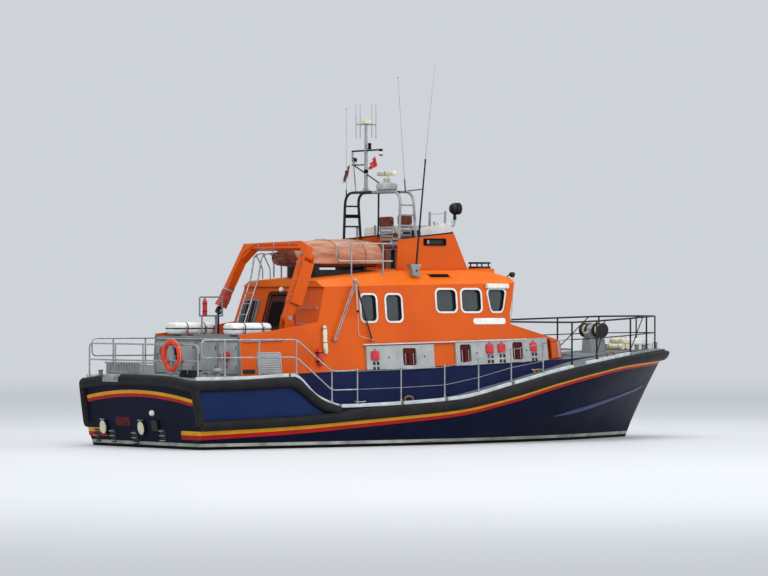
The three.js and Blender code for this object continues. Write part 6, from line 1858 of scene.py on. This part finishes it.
def make_windlass():
    (x0, x1), half, (z0, z1) = WINDLASS["x"], WINDLASS["half"], WINDLASS["z"]
    x, z = WINDLASS["drum"]
    shape = Shape()
    shape.loft([[(a, b, up) for a, b in rounded(x0, x1, -half, half, 0.03, 3)] for up in (z0, z0 + 0.05)], 0)
    shape.loft([[(mix((x0 + x1) / 2, a, grow), b * grow, up)
                 for a, b in rounded(x0, x1, -half, half, 0.06, 3)]
                for up, grow in ((z0 + 0.05, 0.86), (z1 - 0.12, 0.82), (z1 - 0.03, 0.72))], 0)
    for y in (-0.12, 0.12):
        outline = [(x - 0.2, z1 - 0.2), (x + 0.2, z1 - 0.2), (x + 0.14, z + 0.08), (x + 0.06, z + 0.15),
                   (x - 0.06, z + 0.15), (x - 0.14, z + 0.08)]
        shape.loft([[(a, y + d, b) for a, b in outline] for d in (-0.025, 0.025)], 0)
    drum = ((0, 0.13), (0.16, 0.13), (0.195, 0.14), (0.195, 0.17), (0.13, 0.2), (0.115, 0.27), (0.125, 0.33),
            (0.17, 0.37), (0.195, 0.385), (0.195, 0.4), (0.05, 0.41), (0, 0.42))
    for side in (-1, 1):
        shape.turned(drum, (x, 0, z), (0, side, 0), 1, 28)
        for k in range(5):
            y = side * (0.215 + 0.026 * k)
            shape.tube([(x + 0.137 * math.cos(a), y, z + 0.137 * math.sin(a)) for a in circle(24)], 0.013, 2,
                       sides=6, looped=True)
    shape.turned(((0, -0.11), (0.13, -0.11), (0.19, -0.06), (0.13, -0.02), (0.13, 0.02), (0.19, 0.06),
                  (0.13, 0.11), (0, 0.11)), (x, 0, z), (0, 1, 0), 3, 24)
    shape.turned(((0, 0), (0.09, 0), (0.1, 0.03), (0.1, 0.18), (0.07, 0.2), (0, 0.2)), (5.98, -0.02, 2.66),
                 (-0.5, 0, 1), 0, 18)
    shape.make("windlass_gear", ["grey", "black", "rope", "alloy"], "windlass", slot="grey_paint",
               smooth=40, bevel=0.004)


def make_foredeck_gear():
    shape = Shape()
    chest = [[(mix(7.655, x, grow), y * grow, z) for x, y in rounded(7.27, 8.04, -0.2, 0.2, 0.05)]
             for z, grow in ((2.32, 1), (2.58, 1), (2.63, 0.94), (2.65, 0.8))]
    shape.loft(chest, 0)
    shape.slab((7.25, 8.06, -0.215, 0.215, 0.05), (2.5, 2.53), 0)
    for x in (7.45, 7.85):
        shape.staple((x - 0.05, -0.215, 2.48), (x + 0.05, -0.215, 2.48), (0, -0.025, 0), 0.007, 2, sides=8)
    for z, x in ((2.43, 6.93), (2.43, 7.1), (2.59, 7.01)):
        ends = ((-0.3, 0.9), (-0.28, 1), (-0.1, 0.97), (0.0, 0.93), (0.1, 0.97), (0.28, 1), (0.3, 0.9))
        shape.loft([[(x + 0.085 * math.cos(a) * grow, y, z + 0.085 * math.sin(a) * grow) for a in circle(18)]
                    for y, grow in ends], 1)
    shape.box((6.8, -0.28, 2.3), (7.2, 0.28, 2.35), 3)
    for y in (-0.2, 0.2):
        shape.tube([(6.82, y, 2.34), (6.82, y, 2.5), (6.93, y, 2.69), (7.1, y, 2.69), (7.2, y, 2.5),
                    (7.2, y, 2.34)], 0.008, 3, sides=6, fillet=0.05)
    for y in (-0.1, 0.1):
        shape.turned(((0, 0), (0.05, 0), (0.05, 0.18), (0.065, 0.18), (0.065, 0.2), (0, 0.2)),
                     (8.22, y, 2.34), mark=3, sides=16)
    shape.box((8.1, -0.17, 2.33), (8.34, 0.17, 2.36), 3)
    shape.make("foredeck_gear", ["white", "cream", "steel", "grey"], slot="white_plastic", smooth=45,
               bevel=0.004)


def make_hatch_handles(name, x, ys, foot, reach, skin, heights):
    """Two grab bars on a hatch, and a skin on its lid."""
    shape = Shape()
    for y in ys:
        shape.staple((x, y - 0.05, foot), (x, y + 0.05, foot), (0, 0, reach), 0.008, 0, sides=8, fillet=0.015)
    shape.slab(skin, heights, 1)
    shape.make(f"{name}_handles", ["steel", "deck"], body=name, slot="stainless", smooth=45)


make_windlass()
make_foredeck_gear()
make_hatch_handles("foredeck_hatch", 4.62, (-0.18, 0.18), 2.395, 0.035, (4.61, 5.09, -0.25, 0.25, 0.06),
                   (2.39, 2.404))
make_hatch_handles("engine_hatch", -6.5, (-0.22, 0.22), 2.83, 0.03, (-6.46, -5.98, -0.3, 0.3, 0.06),
                   (2.825, 2.838))

# Signal flags on the yard's halyards, each cut, hoisted and left to hang in light wind
FLAG_X = -1.19
WEAVE = (26, 14)
FLAG_COLUMNS = ("name", "colour", "hoist", "fly", "cut", "ripple")
FLAGS = [dict(zip(FLAG_COLUMNS, row)) for row in (
    ("flag_red", "red", ((-0.1, 7.46), (-0.21, 7.18)), ((0.14, 7.18), (0.17, 7.08)), (0.38, 0.29), 0.42),
    ("flag_blue", "quarter", ((0.93, 7.43), (0.93, 7.22)), ((0.71, 7.4), (0.7, 7.2)), (0.25, 0.21), 0.18),
    ("flag_wine", "wine", ((1.013, 7.27), (1.1, 6.95)), ((1.22, 7.0), (1.34, 6.74)), (0.35, 0.32), 0.5))]
HALYARDS = (((-0.05, 7.59), (-0.225, 7.14), (0.27, 7.1)), ((0.93, 7.57), (0.93, 6.54)),
            ((0.93, 7.57), (1.2, 6.5)))


def make_flags():
    lines = Shape()
    for line in HALYARDS:
        lines.tube([(FLAG_X, *at) for at in line], 0.004, 0, sides=6)
    lines.make("halyards", ["rope"], slot="white_paint", smooth=60)
    for flag in FLAGS:
        (top, foot), (fly_top, fly_foot) = flag["hoist"], flag["fly"]
        rows = []
        for t in spread(0, 1, WEAVE[0]):
            row = []
            for s in spread(0, 1, WEAVE[1]):
                wave = 0.1 * math.sin(15 * t + 2.5 * s) * t ** 0.5 + 0.04 * math.sin(31 * t - 5 * s) * t
                y, z = (mix(mix(top[k], foot[k], s), mix(fly_top[k], fly_foot[k], s), t) for k in (0, 1))
                row.append((FLAG_X + wave * flag["ripple"], y, z))
            rows.append(row)
        pale = {"flag_red": lambda i, j: False, "flag_blue": lambda i, j: j >= WEAVE[1] // 2,
                "flag_wine": lambda i, j: i > 19}[flag["name"]]
        cloth = Shape().grid(rows, lambda i, j: 1 if pale(i, j) else 0)
        made = cloth.make(flag["name"], [flag["colour"], "toe"], slot="red_paint", smooth=80)


make_flags()


# Floor, backdrop and soft light
SKY = tone(222, 227, 233)
SKY_STRENGTH = 0.85
FADE = (16, 95)  # how far off the floor starts and ends to turn into the sky's glow


def floor_paint():
    """Pale paint near the boat that turns, far away, into the glow of the sky."""
    made = surface("floor_paint", (214, 216, 218), (207, 210, 213), 0.6, 0.05, grain=0.02, shine=0.2)
    paint = Paint(made)
    far = paint.add("VectorMath", {"operation": "LENGTH"}, Vector=paint.place).outputs["Value"]
    fade = paint.add("MapRange", {"interpolation_type": "SMOOTHSTEP"}, Value=far, From_Min=FADE[0],
                     From_Max=FADE[1])
    glow = paint.add("Emission", Color=SKY, Strength=SKY_STRENGTH)
    both = paint.add("MixShader", Fac=fade.outputs["Result"])
    paint.link(paint.shader.outputs["BSDF"], both.inputs[1])
    paint.link(glow.outputs["Emission"], both.inputs[2])
    paint.link(both.outputs["Shader"], paint.nodes["Material Output"].inputs["Surface"])
    return made


def make_stage():
    floor = bpy.data.meshes.new("floor")
    reach = 900
    floor.from_pydata([(-reach, -reach, 0), (reach, -reach, 0), (reach, reach, 0), (-reach, reach, 0)], [],
                      [(0, 1, 2, 3)])
    floor.materials.append(floor_paint())
    piece = bpy.data.objects.new("floor", floor)
    bpy.context.scene.collection.objects.link(piece)
    world = bpy.data.worlds.new("sky")
    world.use_nodes = True
    world.node_tree.nodes["Background"].inputs["Color"].default_value = SKY
    world.node_tree.nodes["Background"].inputs["Strength"].default_value = SKY_STRENGTH
    bpy.context.scene.world = world
    bpy.context.scene.view_settings.view_transform = "Standard"
    for label, place, size, power in (("key", (-22, -34, 30), 26, 9000), ("fill", (26, -30, 16), 24, 3500),
                                      ("top", (0, 4, 36), 34, 7000)):
        data = bpy.data.lights.new(label, "AREA")
        data.size = size
        data.energy = power
        light = bpy.data.objects.new(label, data)
        light.location = place
        light.rotation_euler = (-Vector(place) + Vector((0, 0, 2))).to_track_quat("-Z", "Y").to_euler()
        bpy.context.scene.collection.objects.link(light)


make_stage()
